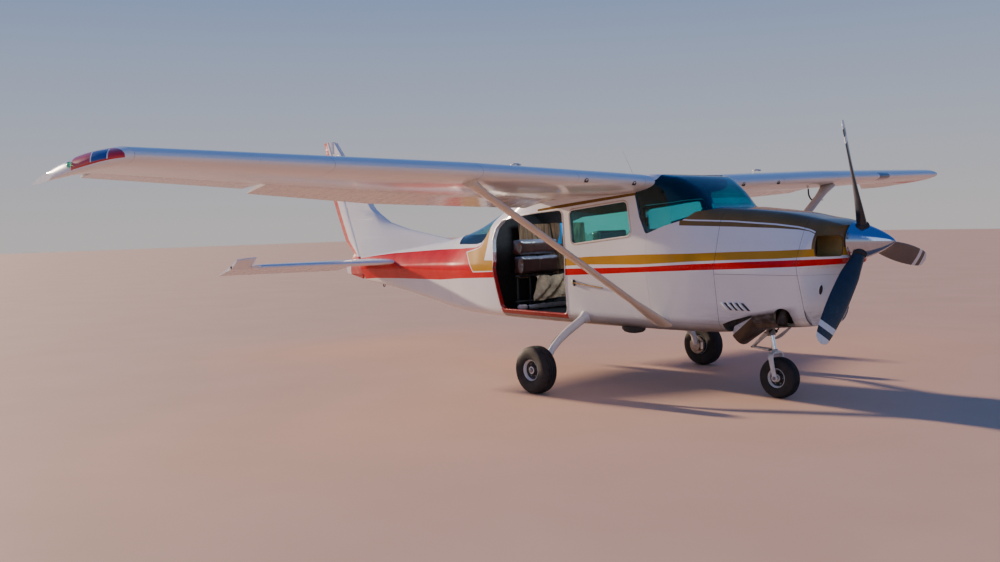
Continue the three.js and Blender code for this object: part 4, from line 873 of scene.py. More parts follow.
# Columns: station x, bottom z, top z, half width at the bottom, at the belt and at the top,
# belt height z, bottom radius, belt radius, top radius
FUSELAGE = np.array([
    (-3400, 893, 1215, 45, 85, 40, 1050, 40, 60, 35),
    (-2600, 820, 1285, 105, 180, 90, 1070, 80, 120, 75),
    (-1700, 699, 1385, 190, 300, 165, 1090, 120, 200, 130),
    (-1160, 624, 1462, 265, 385, 215, 1100, 140, 250, 170),
    (-700, 600, 1575, 350, 460, 280, 1110, 150, 250, 210),
    (-120, 598, 1790, 430, 535, 360, 1120, 150, 250, 230),
    (500, 597, 1970, 480, 585, 500, 1130, 150, 250, 130),
    (1200, 597, 2028, 505, 605, 560, 1140, 150, 250, 80),
    (2050, 600, 2028, 500, 600, 550, 1150, 150, 250, 90),
    (2260, 602, 2008, 495, 592, 520, 1160, 150, 250, 150),
    (2450, 605, 1906, 490, 580, 460, 1170, 150, 250, 200),
    (2660, 612, 1716, 476, 562, 420, 1176, 145, 250, 190),
    (2800, 620, 1702, 460, 545, 405, 1180, 140, 250, 190),
    (3300, 680, 1650, 395, 500, 330, 1190, 140, 240, 210),
    (3560, 702, 1602, 300, 475, 285, 1230, 170, 230, 200),
    (3640, 735, 1588, 190, 455, 272, 1330, 130, 200, 190),
    (3700, 800, 1573, 110, 432, 262, 1385, 80, 150, 180),
    (3760, 920, 1555, 70, 385, 245, 1395, 60, 110, 165),
    (3810, 1080, 1535, 50, 300, 215, 1400, 45, 80, 140),
], float)
STATIONS = [*FUSELAGE[:, 0], *np.arange(-3400, 3500, 50.0), *np.arange(3500, 3811, 12.0)]


def fuselage(name, wall, x0, x1, material):
    """The closed body between two stations, as much smaller all round as a wall is thick."""
    xs = np.array(sorted({x0, x1, *(x for x in STATIONS if x0 < x < x1)}))
    rings = []
    for x, *row in zip(xs, *(eased(FUSELAGE[:, 0], column, xs) for column in FUSELAGE.T[1:])):
        low, high, bottom, belt, top, belt_z, r1, r2, r3 = row
        half = [(bottom - wall, low + wall, max(5, r1 - wall)), (belt - wall, belt_z, r2),
                (top - wall, high - wall, max(5, r3 - wall))]
        other = [(-y, z, radius) for y, z, radius in half]
        rings.append([(x, y, z) for y, z in rounded([other[0], *half, other[2], other[1]], 7)])
    return loft(name, rings, material)


def soft(outline, radius):
    return rounded([(u, v, radius) for u, v in outline], 8)


# Side-view outlines of the openings
OUTLINES = {
    "cargo": soft([
        (985, 698), (1012, 940), (1038, 1140), (1030, 1335), (980, 1728), (606, 1708), (309, 1684),
        (60, 1660), (-91, 1640), (-209, 1557), (-231, 1433), (-135, 1200), (-108, 880), (-90, 720),
        (-35, 698)], 60),
    "front": soft([(1140, 1399), (1096, 1717), (1835, 1787), (1895, 1477)], 45),
    "rear_left": soft([(-60, 1330), (-30, 1570), (250, 1660), (1000, 1720), (1010, 1390), (300, 1340)], 45),
    "door": soft([(1075, 722), (1058, 1760), (1885, 1812), (1940, 1640), (2034, 1455), (2053, 1400),
                  (2053, 722)], 60),
    "windshield": soft([
        (2074, 1483), (1996, 1640), (1939, 1843), (1985, 1935), (2170, 1972), (2190, 2200), (3000, 2200),
        (3000, 1712), (2748, 1705), (2558, 1675), (2448, 1604), (2268, 1554)], 30),
    "rear": soft([
        (-1000, 1380), (-560, 1386), (-455, 1405), (-400, 1460), (-345, 1545), (-300, 1620), (-130, 1745),
        (0, 1830), (40, 2200), (-1000, 2200)], 30),
}
FAR, WIDE, HIGH = 1000, 900, 3000
CABIN_WALL, COWL_WALL = 40, 14
TAIL_END, TAIL_X, REAR_X, FIREWALL_X, BOWL_X, BOWL_END = -3400, -1160, -130, 2800, 3560, 3810
BELLY_Z, ROOF_Z, COWL_Z = 690, 1836, 1135
GAP, BULKHEAD_GAP, COWL_GAP = 0.5, 1.5, 1.2
SKIN_CREASE = 28


def piece_of(source, name, low, high, cuts=()):
    """The part of a shell between two corners, less openings from one side plane to another."""
    obj = common(copy_of(source, name), block(low, high, M["primer"]))
    for outline, y0, y1, finish in cuts:
        cut(obj, prism("opening", OUTLINES[outline], y0, y1, M[finish]))
    return shade(obj, SKIN_CREASE)


def cabin_skins(whole):
    cabin = block((TAIL_X, -WIDE, 0), (FIREWALL_X, WIDE, HIGH), M["primer"])
    shell = common(copy_of(whole, "cabin_shell"), cabin)
    cut(shell, fuselage("cabin_room", CABIN_WALL, TAIL_X + 25, FIREWALL_X + 20, M["lining"]))
    rear_glass, cargo = ("rear", -FAR, FAR, "seal"), ("cargo", -FAR, 0, "jamb")
    glazed = [("windshield", -FAR, FAR, "seal"), rear_glass]
    x0, x1 = REAR_X + GAP, FIREWALL_X - BULKHEAD_GAP
    skins = (
        ("belly_skin", "cabin_belly", (x0, -WIDE, 0), (x1, WIDE, BELLY_Z - GAP), ()),
        ("roof_skin", "cabin_roof", (x0, -WIDE, ROOF_Z + GAP), (x1, WIDE, HIGH), glazed),
        ("side_skin_right", "cabin_side_right", (x0, -WIDE, BELLY_Z + GAP), (x1, -GAP, ROOF_Z - GAP),
         glazed + [cargo, ("front", -FAR, 0, "seal")]),
        ("side_skin_left", "cabin_side_left", (x0, GAP, BELLY_Z + GAP), (x1, WIDE, ROOF_Z - GAP),
         glazed + [("rear_left", 0, FAR, "seal"), ("door", 0, FAR, "jamb")]))
    for name, node, low, high, cuts in skins:
        dress(piece_of(shell, name, low, high, cuts), node)
    door = common(copy_of(shell, "crew_door_skin"),
                  prism("door", grown(OUTLINES["door"], -6), 300, FAR, M["jamb"]))
    cut(door, prism("window", OUTLINES["front"], 0, FAR, M["seal"]))
    dress(shade(door, SKIN_CREASE), "crew_door", "crew_door_body")
    rear = piece_of(shell, "rear_skin", (TAIL_X + GAP, -WIDE, 0), (REAR_X - GAP, WIDE, HIGH),
                    [rear_glass, cargo])
    dress(rear, "rear_fuselage")
    bpy.data.objects.remove(shell)


def cabin_shade_sheets():
    """A black partition behind the bench and a black lining over it: dark sheets put in as painted shade
    inside the cabin.
    """
    dress(shade(fuselage("shade_partition", 43, -272, -258, M["black"]), SKIN_CREASE))
    shade_headliner = cut(fuselage("shade_headliner", 42, -256, 90, M["black"]),
                    fuselage("room", 48, -300, 130, M["black"]))
    common(shade_headliner, block((-400, -340, 1585), (400, 900, 2100), M["black"]))
    dress(shade(shade_headliner, SKIN_CREASE))


def panes():
    """The glass: the skin of a thinner body inside each opening."""
    pane = cut(fuselage("pane", 3, TAIL_X, FIREWALL_X, M["glass"]),
               fuselage("room", 11, TAIL_X, FIREWALL_X + 30, M["glass"]))
    for name, outline, y0, y1, node, tint, body in (
            ("windshield_pane", "windshield", -FAR, FAR, "windshield", "glass", "airframe"),
            ("rear_window_pane", "rear", -FAR, FAR, "rear_window", "clear", "airframe"),
            ("right_front_pane", "front", -FAR, 0, "window_right_front", "side_glass", "airframe"),
            ("left_rear_pane", "rear_left", 0, FAR, "window_left_rear", "clear", "airframe"),
            ("crew_door_pane", "front", 0, FAR, "crew_door_window", "clear", "crew_door_body")):
        opening = prism("opening", grown(OUTLINES[outline], -0.6), y0, y1, M["glass"])
        obj = common(copy_of(pane, name), opening)
        obj.data.materials.clear()
        obj.data.materials.append(M[tint])
        dress(shade(obj, SKIN_CREASE), node, body)
    bpy.data.objects.remove(pane)


HINGE_LOW, HINGE_HIGH = (-3374, 952), (-4120, 2600)
HINGE_SLOPE = (HINGE_HIGH[0] - HINGE_LOW[0]) / (HINGE_HIGH[1] - HINGE_LOW[1])
HINGE_STRETCH = 1 / math.cos(math.atan(HINGE_SLOPE))
RUDDER_NOSE = 40
FIN_GAP = RUDDER_NOSE * HINGE_STRETCH + 8


def hinge_x(z):
    return HINGE_LOW[0] + (z - HINGE_LOW[1]) * HINGE_SLOPE


def tail_cone(whole):
    """Closed, up to the slanted gap before the rudder."""
    tail = piece_of(whole, "tail_skin", (TAIL_END, -WIDE, 0), (TAIL_X - GAP, WIDE, HIGH))
    stern = [(hinge_x(0) + FIN_GAP, 0), (hinge_x(4000) + FIN_GAP, 4000), (-9000, 4000), (-9000, 0)]
    cut(tail, prism("stern", stern, -FAR, FAR, M["primer"]))
    dress(shade(tail, SKIN_CREASE), "tailcone")


COWL_FLAP_OPENING = [(2830, 0), (2830, 700), (2930, 738), (3120, 790), (3120, 0)]


def cowling(whole):
    cowl = cut(copy_of(whole, "cowl"), fuselage("cowl_room", COWL_WALL, FIREWALL_X - 60, 3796, M["primer"]))
    x0, x1 = FIREWALL_X + BULKHEAD_GAP, BOWL_X - COWL_GAP
    upper = piece_of(cowl, "cowl_upper_skin", (x0, -WIDE, COWL_Z + COWL_GAP), (x1, WIDE, HIGH))
    lower = piece_of(cowl, "cowl_lower_skin", (x0, -WIDE, 0), (x1, WIDE, COWL_Z - COWL_GAP))
    cut(lower, block((2815, -100, 0), (3130, 100, 900), M["primer"]))
    for _, s in SIDES:
        cut(lower, prism("flap", COWL_FLAP_OPENING, s * 186, s * 700, M["primer"]))
    cut(lower, tube("pipe_hole", [(3376, -280, 815), (3392, -560, 740)], 74, M["primer"], 48))
    cut(lower, block((3312, -560, 0), (3460, -318, 790), M["primer"]))
    dress(upper, "cowl_upper")
    dress(shade(lower, SKIN_CREASE), "cowl_lower")
    bpy.data.objects.remove(cowl)


def exhaust():
    can = [(0, 0.3), (0, 40), (12, 60), (330, 60), (342, 40), (342, 0.3)]
    muffler = [turned("can", can, (3080, 0, 748), (1, 0, 0), M["exhaust"], sides=48, angle=40)]
    muffler += [tube("stack", [(x, 0, 780), (x, 0, 1146)], 22, M["exhaust"], 20) for x in (3130, 3370)]
    group("exhaust_muffler", muffler, 40)
    bend = smooth_path([
        (3340, -270, 1130), (3340, -270, 980), (3344, -284, 900), (3364, -352, 780), (3372, -378, 713)])
    pipe = tube("exhaust_elbow", bend, [43.0] * (len(bend) - 2) + [43.7, 43.7], M["exhaust"], 40)
    cut(pipe, tube("bore", [(3350, -300, 860), (3364, -352, 780), (3374, -384, 696)], 38.5, M["black"], 40))
    dress(shade(pipe, 40), "exhaust_pipe")


# Front and back corner of a cowl flap, on its outer and on its inner side
COWL_FLAP = np.array([[(3120, 436, 770), (2915, 436, 600)], [(3120, 190, 664), (2890, 190, 508)]], float)
COWL_FLAP_BOW = 32


def cowl_flaps():
    """Bowed plates, each with a cheek on its outer side and two ribs."""
    outer, inner = COWL_FLAP
    for word, s in SIDES:
        face = M["oily"] if s < 0 else M["worn_grey"]
        rings = []
        for part in np.linspace(0, 1, 12):
            front, back = outer * (1 - part) + inner * part
            bow = COWL_FLAP_BOW * math.sin(math.pi * part)
            low = [front + (back - front) * k - (0, 0, bow * k) for k in np.linspace(0, 1, 10)]
            half = 4 if 0 < part < 1 else 2
            edge = [p + (0, 0, 4 - half) for p in low] + [p + (0, 0, 4 + half) for p in low[::-1]]
            rings.append([(x, s * y, z) for x, y, z in edge])
        cheek = [(3120, 774), (2915, 604), (2926, 660), (2934, 684), (2946, 692)]
        parts = [loft("plate", rings, face)]
        parts.append(bevel(prism("cheek", cheek, s * 428, s * 436, M["worn_grey"]), 2))
        for k in (0.25, 0.6):
            a, b = outer * (1 - k) + inner * k
            bow = COWL_FLAP_BOW * math.sin(math.pi * k)
            run = [a + (b - a) * q + (0, 0, 10 - bow * q) for q in (0.08, 0.5, 0.92)]
            parts.append(tube("rib", [(x, s * y, z) for x, y, z in run], 5, face, 12))
        group("cowl_flap_skin_" + word, parts, 35, "cowl_flap_" + word)


# Nose bowl, its chin drawn back below the air inlets: plan x, y, then level z and how far forward
CHIN_PLAN = np.array([(3400, 700), (3540, 560), (3600, 445), (3650, 365), (3700, 275), (3740, 195),
                      (3775, 105), (3800, 0)], float)
CHIN_LEVELS = np.array([(0, -180), (700, -165), (900, -75), (1190, 0), (1290, 180), (3000, 180)], float)


def chin(name, back, material):
    ys = np.concatenate([np.arange(700, 100, -25.0), np.arange(100, -1, -12.5)])
    xs = eased(CHIN_PLAN[::-1, 1], CHIN_PLAN[::-1, 0], ys)
    half = list(zip(xs - back, ys))
    front = half + [(x, -y) for x, y in half[-2::-1]]
    zs = np.array(sorted({*np.arange(700, 1290, 30.0), *CHIN_LEVELS[:, 0]}))
    rings = []
    for z, reach in zip(zs, eased(*CHIN_LEVELS.T, zs)):
        rings.append([(3060, 700, z)] + [(x + reach, y, z) for x, y in front] + [(3060, -700, z)])
    return loft(name, rings, material)


# Corners of an air inlet: place y, height z, radius
INLET = ((165, 1285, 55), (425, 1285, 60), (425, 1455, 60), (165, 1455, 55))


def nose_bowl(whole):
    """The bowl with its two inlets, the ducts behind them, and a plate that closes the cowl below."""
    plates = []
    for wall, x0, x1, finish in ((COWL_WALL + 0.4, 3551, 3560.8, "livery"),
                                 (COWL_WALL + 0.6, 3548.5, 3550, "black")):
        low_part = block((3000, -WIDE, 0), (3900, WIDE, 1120), M[finish])
        plates.append(common(fuselage("plate", wall, x0, x1, M[finish]), low_part))
    group("cowl_front_plate", plates, SKIN_CREASE)
    bowl = piece_of(whole, "nose_bowl_skin", (BOWL_X + COWL_GAP, -WIDE, 0), (BOWL_END, WIDE, HIGH))
    common(bowl, chin("chin", 0, M["livery"]))
    room = common(fuselage("room", COWL_WALL, 3300, 3796, M["primer"]), chin("chin", COWL_WALL, M["primer"]))
    cut(bowl, room, keep=True)
    for word, s in SIDES:
        mouth = rounded([(s * y, z, radius) for y, z, radius in INLET], 8)
        cut(bowl, front_prism("mouth", mouth, 3690, 3900, M["bronze"]))
        duct = cut(front_prism("duct", grown(mouth, 5), 3566, 3796, M["duct"]),
                   front_prism("bore", mouth, 3500, 3900, M["duct"]))
        # A black plate closes each duct at the back; its black paints the shade deep inside the inlet.
        back = front_prism("back", grown(mouth, -1), 3568, 3574, M["black"])
        group("inlet_duct_" + word, [common(duct, room, keep=True), common(back, room, keep=True)], 30)
    cut(bowl, tube("shaft_hole", [(3700, 0, SHAFT_Z), (3900, 0, SHAFT_Z)], 70, M["primer"], 48))
    dress(shade(bowl, 30), "nose_bowl")
    bpy.data.objects.remove(room)


whole = fuselage("whole", 0, TAIL_END, BOWL_END, M["livery"])
cabin_skins(whole)
cabin_shade_sheets()
panes()
tail_cone(whole)
cowling(whole)
exhaust()
cowl_flaps()
nose_bowl(whole)
bpy.data.objects.remove(whole)

# Wings and tail

# Wing and wing tip: section y, leading edge x, leading edge z, chord, incidence in degrees
WING = np.array([(520, 2160, 1950, 1626, 4.3), (2540, 2150, 2022, 1626, 4.3), (5200, 1950, 2100, 1130, 3.3)],
                float)
WING_TIP = np.array([(5200.3, 1950, 2100, 1130, 3.3), (5330, 1800, 2082, 1010, 4.4),
                     (5420, 1500, 2046, 740, 5.5), (5460, 1180, 2002, 440, 5.5)], float)
FLAP = {"from": 660, "to": 3800, "hinge": 0.745, "droop": 10}
AILERON = {"from": 3830, "to": 5150, "hinge": 0.77, "droop": 4}
MOVING_GAP = 6
CAMBER, CAMBER_AT = 0.02, 0.4


def wing_at(y):
    return (y, *straight_row(WING, y))


def section_point(row, u, v):
    """The x and z of a wing section's point, u of the chord back and v of it up."""
    c, d = math.cos(math.radians(row[4])), math.sin(math.radians(row[4]))
    return row[1] + row[3] * (-u * c - v * d), row[2] + row[3] * (-u * d + v * c)


def airfoil(u):
    """Heights of the upper side, the lower side and the mean line of a four-digit section."""
    m, p = CAMBER, CAMBER_AT
    mean = np.where(u < p, m / p ** 2 * (2 * p * u - u * u),
                    m / (1 - p) ** 2 * (1 - 2 * p + 2 * p * u - u * u))
    half = 0.6 * (0.2969 * np.sqrt(u) - 0.126 * u - 0.3516 * u ** 2 + 0.2843 * u ** 3 - 0.1015 * u ** 4)
    return mean + half, mean - half, mean


def wing_ring(row, s):
    u = (1 - np.cos(np.pi * np.linspace(0, 1, 31))) / 2
    upper, lower, _ = airfoil(u)
    x, z = section_point(row, np.concatenate([u[::-1], u[1:]]), np.concatenate([upper[::-1], lower[1:]]))
    return np.stack([x, np.full(len(x), s * row[0]), z], 1)


def nose_ring(hinge, nose, back, droop, y):
    """The section of a moving surface: a round nose about its hinge and a tail that tapers to 6 mm."""
    a = np.pi / 2 - np.pi * np.linspace(0, 1, 13)
    taper, trail = np.array([0.25, 0.55, 0.8]), 3.0
    side = nose * (1 - taper) ** 1.06 + trail * taper
    u = np.concatenate([nose * np.cos(a), -back * taper, [-back, -back], -back * taper[::-1]])
    v = np.concatenate([nose * np.sin(a), -side, [-trail, trail], side[::-1]])
    c, d = math.cos(math.radians(droop)), math.sin(math.radians(droop))
    return np.stack([hinge[0] + u * c - v * d, np.full(len(u), y), hinge[1] + u * d + v * c], 1)


def trailing_surface(name, spec, s):
    """A flap or aileron, and what is cut from the wing for it."""
    start, end = spec["from"], spec["to"]
    mean = float(airfoil(np.array(spec["hinge"]))[2])
    inner, outer = (np.array(section_point(wing_at(y), spec["hinge"], mean)) for y in (start, end))
    bends = [y for y in WING[:, 0] if start < y < end]
    rings, front = [], []
    for y in sorted({start, end, *bends, *np.arange(start + 250, end - 100, 250)}):
        hinge = inner + (outer - inner) * (y - start) / (end - start)
        row = wing_at(y)
        upper, lower, _ = airfoil(np.array((row[1] - hinge[0]) / row[3]))
        back = hinge - section_point(row, 1, 0)
        nose = float(upper - lower) / 2 * row[3] * 0.93
        fall = math.degrees(math.atan2(back[1], back[0]))
        rings.append(nose_ring(hinge, nose, math.hypot(*back), spec["droop"] + fall, s * y))
        front.append((hinge[0] + nose + MOVING_GAP, s * y))
    front[0] = (front[0][0], front[0][1] - s * MOVING_GAP)
    front[-1] = (front[-1][0], front[-1][1] + s * MOVING_GAP)
    slot = plan_prism("slot", front + [(-500, front[-1][1]), (-500, front[0][1])], 1000, HIGH, M["primer"])
    return loft(name, rings, M["beaded"], angle=30), slot


def wings():
    body = fuselage("body", 0.3, -1400, 2900, M["primer"])
    for word, s in SIDES:
        ys = sorted({*WING[:, 0], *np.arange(700, 5200, 225.0)})
        wing = loft("wing_skin_" + word, [wing_ring(wing_at(y), s) for y in ys], M["wing"])
        cut(wing, body, keep=True)
        for kind, spec in (("flap", FLAP), ("aileron", AILERON)):
            surface, slot = trailing_surface(f"{kind}_skin_{word}", spec, s)
            cut(wing, slot)
            dress(surface, f"{kind}_{word}", f"{kind}_body_{word}")
        # The skin between flap and aileron ends at the hinge
        y0, y1 = sorted((s * (FLAP["to"] - 50), s * (AILERON["from"] + 50)))
        end = section_point(wing_at(FLAP["to"]), FLAP["hinge"], 0)[0] - 34
        cut(wing, block((-500, y0, 1000), (end, y1, HIGH), M["primer"]))
        dress(shade(wing, 30), "wing_" + word)
        ys = np.concatenate([np.linspace(5200.3, 5420, 14), np.linspace(5426, 5460, 6)])
        rings = [wing_ring((y, *eased_row(WING_TIP, y)), s) for y in ys]
        dress(loft("wing_tip_skin_" + word, rings, M["tip"], angle=30), "wing_tip_" + word)
    bpy.data.objects.remove(body)


TAIL_HINGE = (-3330, 1150)
TAIL_SECTION = np.array([
    (0, 0), (.004, .19), (.015, .33), (.04, .48), (.08, .66), (.14, .82), (.24, .95), (.35, 1), (.5, .985),
    (.7, .9), (.85, .78)])


def stabilizers():
    body = fuselage("body", 0.3, TAIL_END, -1000, M["primer"])
    rear = TAIL_HINGE[0] + 36
    for word, s in SIDES:
        rings = []
        for y in [*np.linspace(20, 1690, 12), 1708, 1725]:
            part = (y - 20) / 1705
            round_off = 1 - 0.35 * max(0, (y - 1690) / 35) ** 2
            lead = -2430 - 610 * part
            thick, end = (88 - 28 * part) * round_off, (30 - 8 * part) * round_off
            x = np.append(lead - TAIL_SECTION[:, 0] * (lead - rear), rear)
            v = np.append(TAIL_SECTION[:, 1] * thick / 2, end)
            x, v = np.concatenate([x, x[:0:-1]]), np.concatenate([v, -v[:0:-1]])
            rings.append(np.stack([x, np.full(len(x), s * y), TAIL_HINGE[1] + v], 1))
        surface = cut(loft("stabilizer_skin_" + word, rings, M["tail"]), body, keep=True)
        dress(shade(surface, 35), "stabilizer_" + word)
    bpy.data.objects.remove(body)


ELEVATOR_DROOP, HORN_DROOP = 17, 31


def elevator():
    """Two halves with their horns, on one torque tube."""
    parts = []
    c, d = math.cos(math.radians(HORN_DROOP)), math.sin(math.radians(HORN_DROOP))
    for _, s in SIDES:
        rings = []
        for y in np.linspace(110, 1980, 14):
            part = (y - 110) / 1870
            rings.append(nose_ring(TAIL_HINGE, 30 - 8 * part, 440 - 75 * part, ELEVATOR_DROOP, s * y))
        notch = [(-3380, s * 80), (-3380, s * 120), (-3900, s * 300), (-3900, s * 80)]
        parts.append(cut(loft("half", rings, M["beaded"]), plan_prism("notch", notch, 0, HIGH, M["beaded"])))
        rings = []
        for y, lead in ((1735, 240), (1850, 232), (1940, 215), (1970, 203), (1980, 190)):
            side = [(-20, 19, 3), (lead - 40, 15.5, 30)]
            outline = [(u, -v, r) for u, v, r in side] + [(lead, 0, 8)] + side[::-1]
            rings.append([(TAIL_HINGE[0] + u * c - v * d, s * y, TAIL_HINGE[1] + u * d + v * c)
                          for u, v in rounded(outline, 4)])
        parts.append(loft("horn", rings, M["tail"]))
    (x, z), half = TAIL_HINGE, 150
    parts.append(tube("torque", [(x, -half, z), (x, half, z)], 14, M["steel"], 32))
    group("elevator_skin", parts, 30, "elevator", "elevator_body")


# Fin with its long dorsal fillet: height, leading edge x, thickness
FIN_LEVELS = np.array([
    (1180, -1250, 110), (1405, -1330, 104), (1560, -2350, 100), (1655, -2760, 96), (1830, -3110, 90),
    (2600, -3833, 66), (2768, -3990, 58)], float)


def fin():
    rings = []
    for z in sorted({*FIN_LEVELS[:, 0], *np.arange(1200, 2760, 35.0)}):
        lead, thick = straight_row(FIN_LEVELS, z)
        rear = min(hinge_x(z) + FIN_GAP, lead - 60)
        full = min(rear + 620, lead - 40)
        half = thick / 2
        nose = min(half, 12)
        side = [(rear, half * 0.8), ((rear + full) / 2, half * 0.93), (full, half)]
        side += [(full + (lead - 20 - full) * t, half + (nose - half) * t ** 1.5)
                 for t in (0.2, 0.4, 0.6, 0.8, 0.95)]
        side += [(lead - 12, nose * 0.8), (lead - 4, nose * 0.55), (lead, nose * 0.2)]
        rings.append([(x, y, z) for x, y in side] + [(x, -y, z) for x, y in side[::-1]])
    surface = cut(loft("fin_skin", rings, M["tail"]), fuselage("body", 0.3, TAIL_END, -1000, M["primer"]))
    cut(surface, block((-5000, -FAR, 2619), (-4029, FAR, 4000), M["primer"]))
    dress(shade(surface, 30), "fin")


def rudder():
    """A round nose on the slanted hinge, a bulged trailing edge, a horn on top and a foot."""
    levels = np.array(RUDDER_LEVELS, float)
    a = np.pi / 2 - np.pi * np.linspace(0, 1, 13)
    taper = np.array([0.3, 0.65])
    rings = []
    for z in sorted({*levels[:, 0], *np.arange(990, 2780, 30.0)}):
        trail, end = straight_row(levels, z)
        x0 = hinge_x(z)
        half = RUDDER_NOSE * (1 - 0.35 * min(1, max(0, (z - 1000) / 1700)))
        back = x0 + (trail - x0) * taper
        side = half + (end - half) * taper
        xs = np.concatenate([x0 + half * HINGE_STRETCH * np.cos(a), back, [trail, trail], back[::-1]])
        ys = np.concatenate([half * np.sin(a), -side, [-end, end], side[::-1]])
        rings.append(np.stack([xs, ys, np.full(len(xs), z)], 1))
    horn = [(-4045, 4), (-4060, 14), (-4090, 20), (-4200, 22), (-4270, 12), (-4290, 5)]
    horn += [(x, -y) for x, y in horn[::-1]]
    foot = [(-3440, 975), (-3440, 908), (-3826, 980), (-3836, 1040)]
    parts = [loft("main", rings, M["rudder"]), plan_prism("horn", horn, 2625, 2785, M["rudder"]),
             prism("foot", foot, -12, 12, M["rudder"])]
    group("rudder_skin", parts, 30, "rudder", "rudder_body")


def struts():
    """Lift struts of a rounded section that swells into a fairing at both ends."""
    for word, s in SIDES:
        low, high = np.array((2170, s * 580, 725.0)), np.array((2000, s * 2540, 1925.0))
        rings = []
        for t in (-0.05, 0, 0.02, 0.04, 0.06, 0.08, 0.10, 0.12, 0.14, 0.5, 0.92, 0.95, 0.98, 1.0, 1.012):
            swell = 1 + 0.70 * max(0, 1 - t / 0.14) ** 1.1 + 0.55 * max(0, (t - 0.92) / 0.09) ** 1.6
            a = turns(32)
            v = 22 * min(swell, 1.35) * np.sin(a) * (1 + 0.25 * np.cos(a))
            rings.append(low + (high - low) * t + np.stack([59 * swell * np.cos(a), np.zeros(32), v], 1))
        dress(loft("strut_" + word, rings, M["strut"], angle=40), "wing_strut_" + word)


wings()
stabilizers()
elevator()
fin()
rudder()
struts()

# Propeller

HUB = Vector((3905, 0, SHAFT_Z))
SPINNER = np.array([
    (3820, 156), (3860, 152), (3900, 142), (3960, 120), (4040, 86), (4120, 42), (4150, 20), (4169, 0.4)],
                   float)
# Blade: radius, chord, thickness, pitch in degrees
BLADE = np.array([
    (110, 92, 84, 62), (230, 118, 60, 52), (380, 158, 38, 42), (620, 176, 26, 32), (860, 158, 18, 25),
    (980, 118, 12, 22), (1016, 62, 8, 21)], float)
BLADE_ANGLES = {"upper": -19, "right": 101, "lower": 221}


def spinner():
    xs = np.concatenate([np.linspace(3824, 4140, 30), np.linspace(4146, 4169, 7)])
    profile = [(3820, 0.4), (3820, 150), (3820.5, 154.5), (3823, 156), *zip(xs, eased(*SPINNER.T, xs))]
    shell = turned("spinner_shell", profile, (0, 0, SHAFT_Z), (1, 0, 0), M["spinner"], sides=96, angle=30)
    dress(shell, "spinner", "propeller")


def blades():
    for word, degrees in BLADE_ANGLES.items():
        turn = Matrix.Rotation(math.radians(-degrees), 4, "X")
        rings = []
        for radius in [*np.linspace(118, 960, 30), 975, 990, 1000, 1008, 1013, 1016]:
            chord, thick, pitch = eased_row(BLADE, radius)
            out = max(0, radius - 960) / 57
            chord *= math.sqrt(max(0.02, 1 - out ** 2 * 0.86)) / (1 - 0.30 * out)
            c, d = math.cos(math.radians(pitch)), math.sin(math.radians(pitch))
            a = turns(28)
            lean = min(1, max(0, (radius - 160) / 200))
            u, v = chord / 2 * np.cos(a), thick / 2 * np.sin(a) * (1 + 0.22 * lean * np.cos(a))
            rings.append(np.stack([u * d + v * c, -u * c + v * d, np.full(28, radius)], 1))
        rings = [[HUB + turn @ Vector(p) for p in ring] for ring in rings]
        blade = loft("blade_skin_" + word, rings, M["blade"], angle=40)
        dress(blade, "blade_" + word, "propeller")
        cuff = [[HUB + turn @ Vector((width * math.cos(a), width * math.sin(a), radius)) for a in turns(40)]
                for radius, width in ((112, 57), (128, 58), (140, 56), (150, 50), (154, 46))]
        dress(loft("blade_cuff_" + word, cuff, M["seal"], angle=50), body="propeller")


spinner()
blades()

# Wheels and gear

MAIN = {"x": 1288, "y": 1240, "z": 249, "r": 222.5, "w": 160, "rim": 98}
NOSE = {"x": 3088, "y": 0, "z": 206.5, "r": 180, "w": 127, "rim": 86}
NOSE_CENTRE = (3088, 0, 206.5)
BOLTS = 6
# Side of a tyre: part of its half width, and of the way from rim to tread
TYRE_SIDE = ((0.86, 0.01), (0.90, 0.04), (0.945, 0.16), (0.985, 0.32), (1.0, 0.48), (0.985, 0.62),
             (0.94, 0.75), (0.86, 0.86), (0.76, 0.925), (0.66, 0.96))
GROOVES = (0.46, 0.16, -0.16, -0.46)
GROOVE_DEPTH = 5.5


def tyre_profile(wheel):
    h, r, rim = wheel["w"] / 2, wheel["r"], wheel["rim"]
    side = [(h * u, rim + (r - rim) * v) for u, v in TYRE_SIDE]
    tread = []
    for place in GROOVES:
        for offset, deep in ((0.045, 0), (0.03, 1), (-0.03, 1), (-0.045, 0)):
            u = place + offset
            tread.append((h * u, r - (u / 0.66) ** 2 * (r - rim) * 0.04 - deep * GROOVE_DEPTH))
    other = [(-d, v) for d, v in side[::-1]]
    return [*side, *tread, *other, (-h * 0.7, rim + 1), (h * 0.7, rim + 1), side[0]]


def wheel_profile(wheel):
    h, rim = wheel["w"] / 2, wheel["rim"]
    half = [(h * 0.85, rim + 0.5), (h * 0.90, rim - 2), (h * 0.82, rim - 7), (h * 0.55, rim - 12),
            (h * 0.42, rim - 18), (h * 0.36, rim - 30), (h * 0.36, 52), (h * 0.44, 46), (h * 0.62, 42),
            (h * 0.72, 40), (h * 0.74, 30), (h * 0.74, 20.6)]
    return half + [(-d, r) for d, r in half[::-1]] + [half[0]]


def hex_bolt(centre, axis, size, height=9):
    """A hexagon head with a washer."""
    profile = [(0, 0.2), (0, size * 1.15), (1.2, size * 1.15), (1.3, size), (height - 1, size),
               (height, size * 0.85), (height, 0.2)]
    return turned("bolt", profile, centre, axis, M["steel"], sides=6, angle=30)


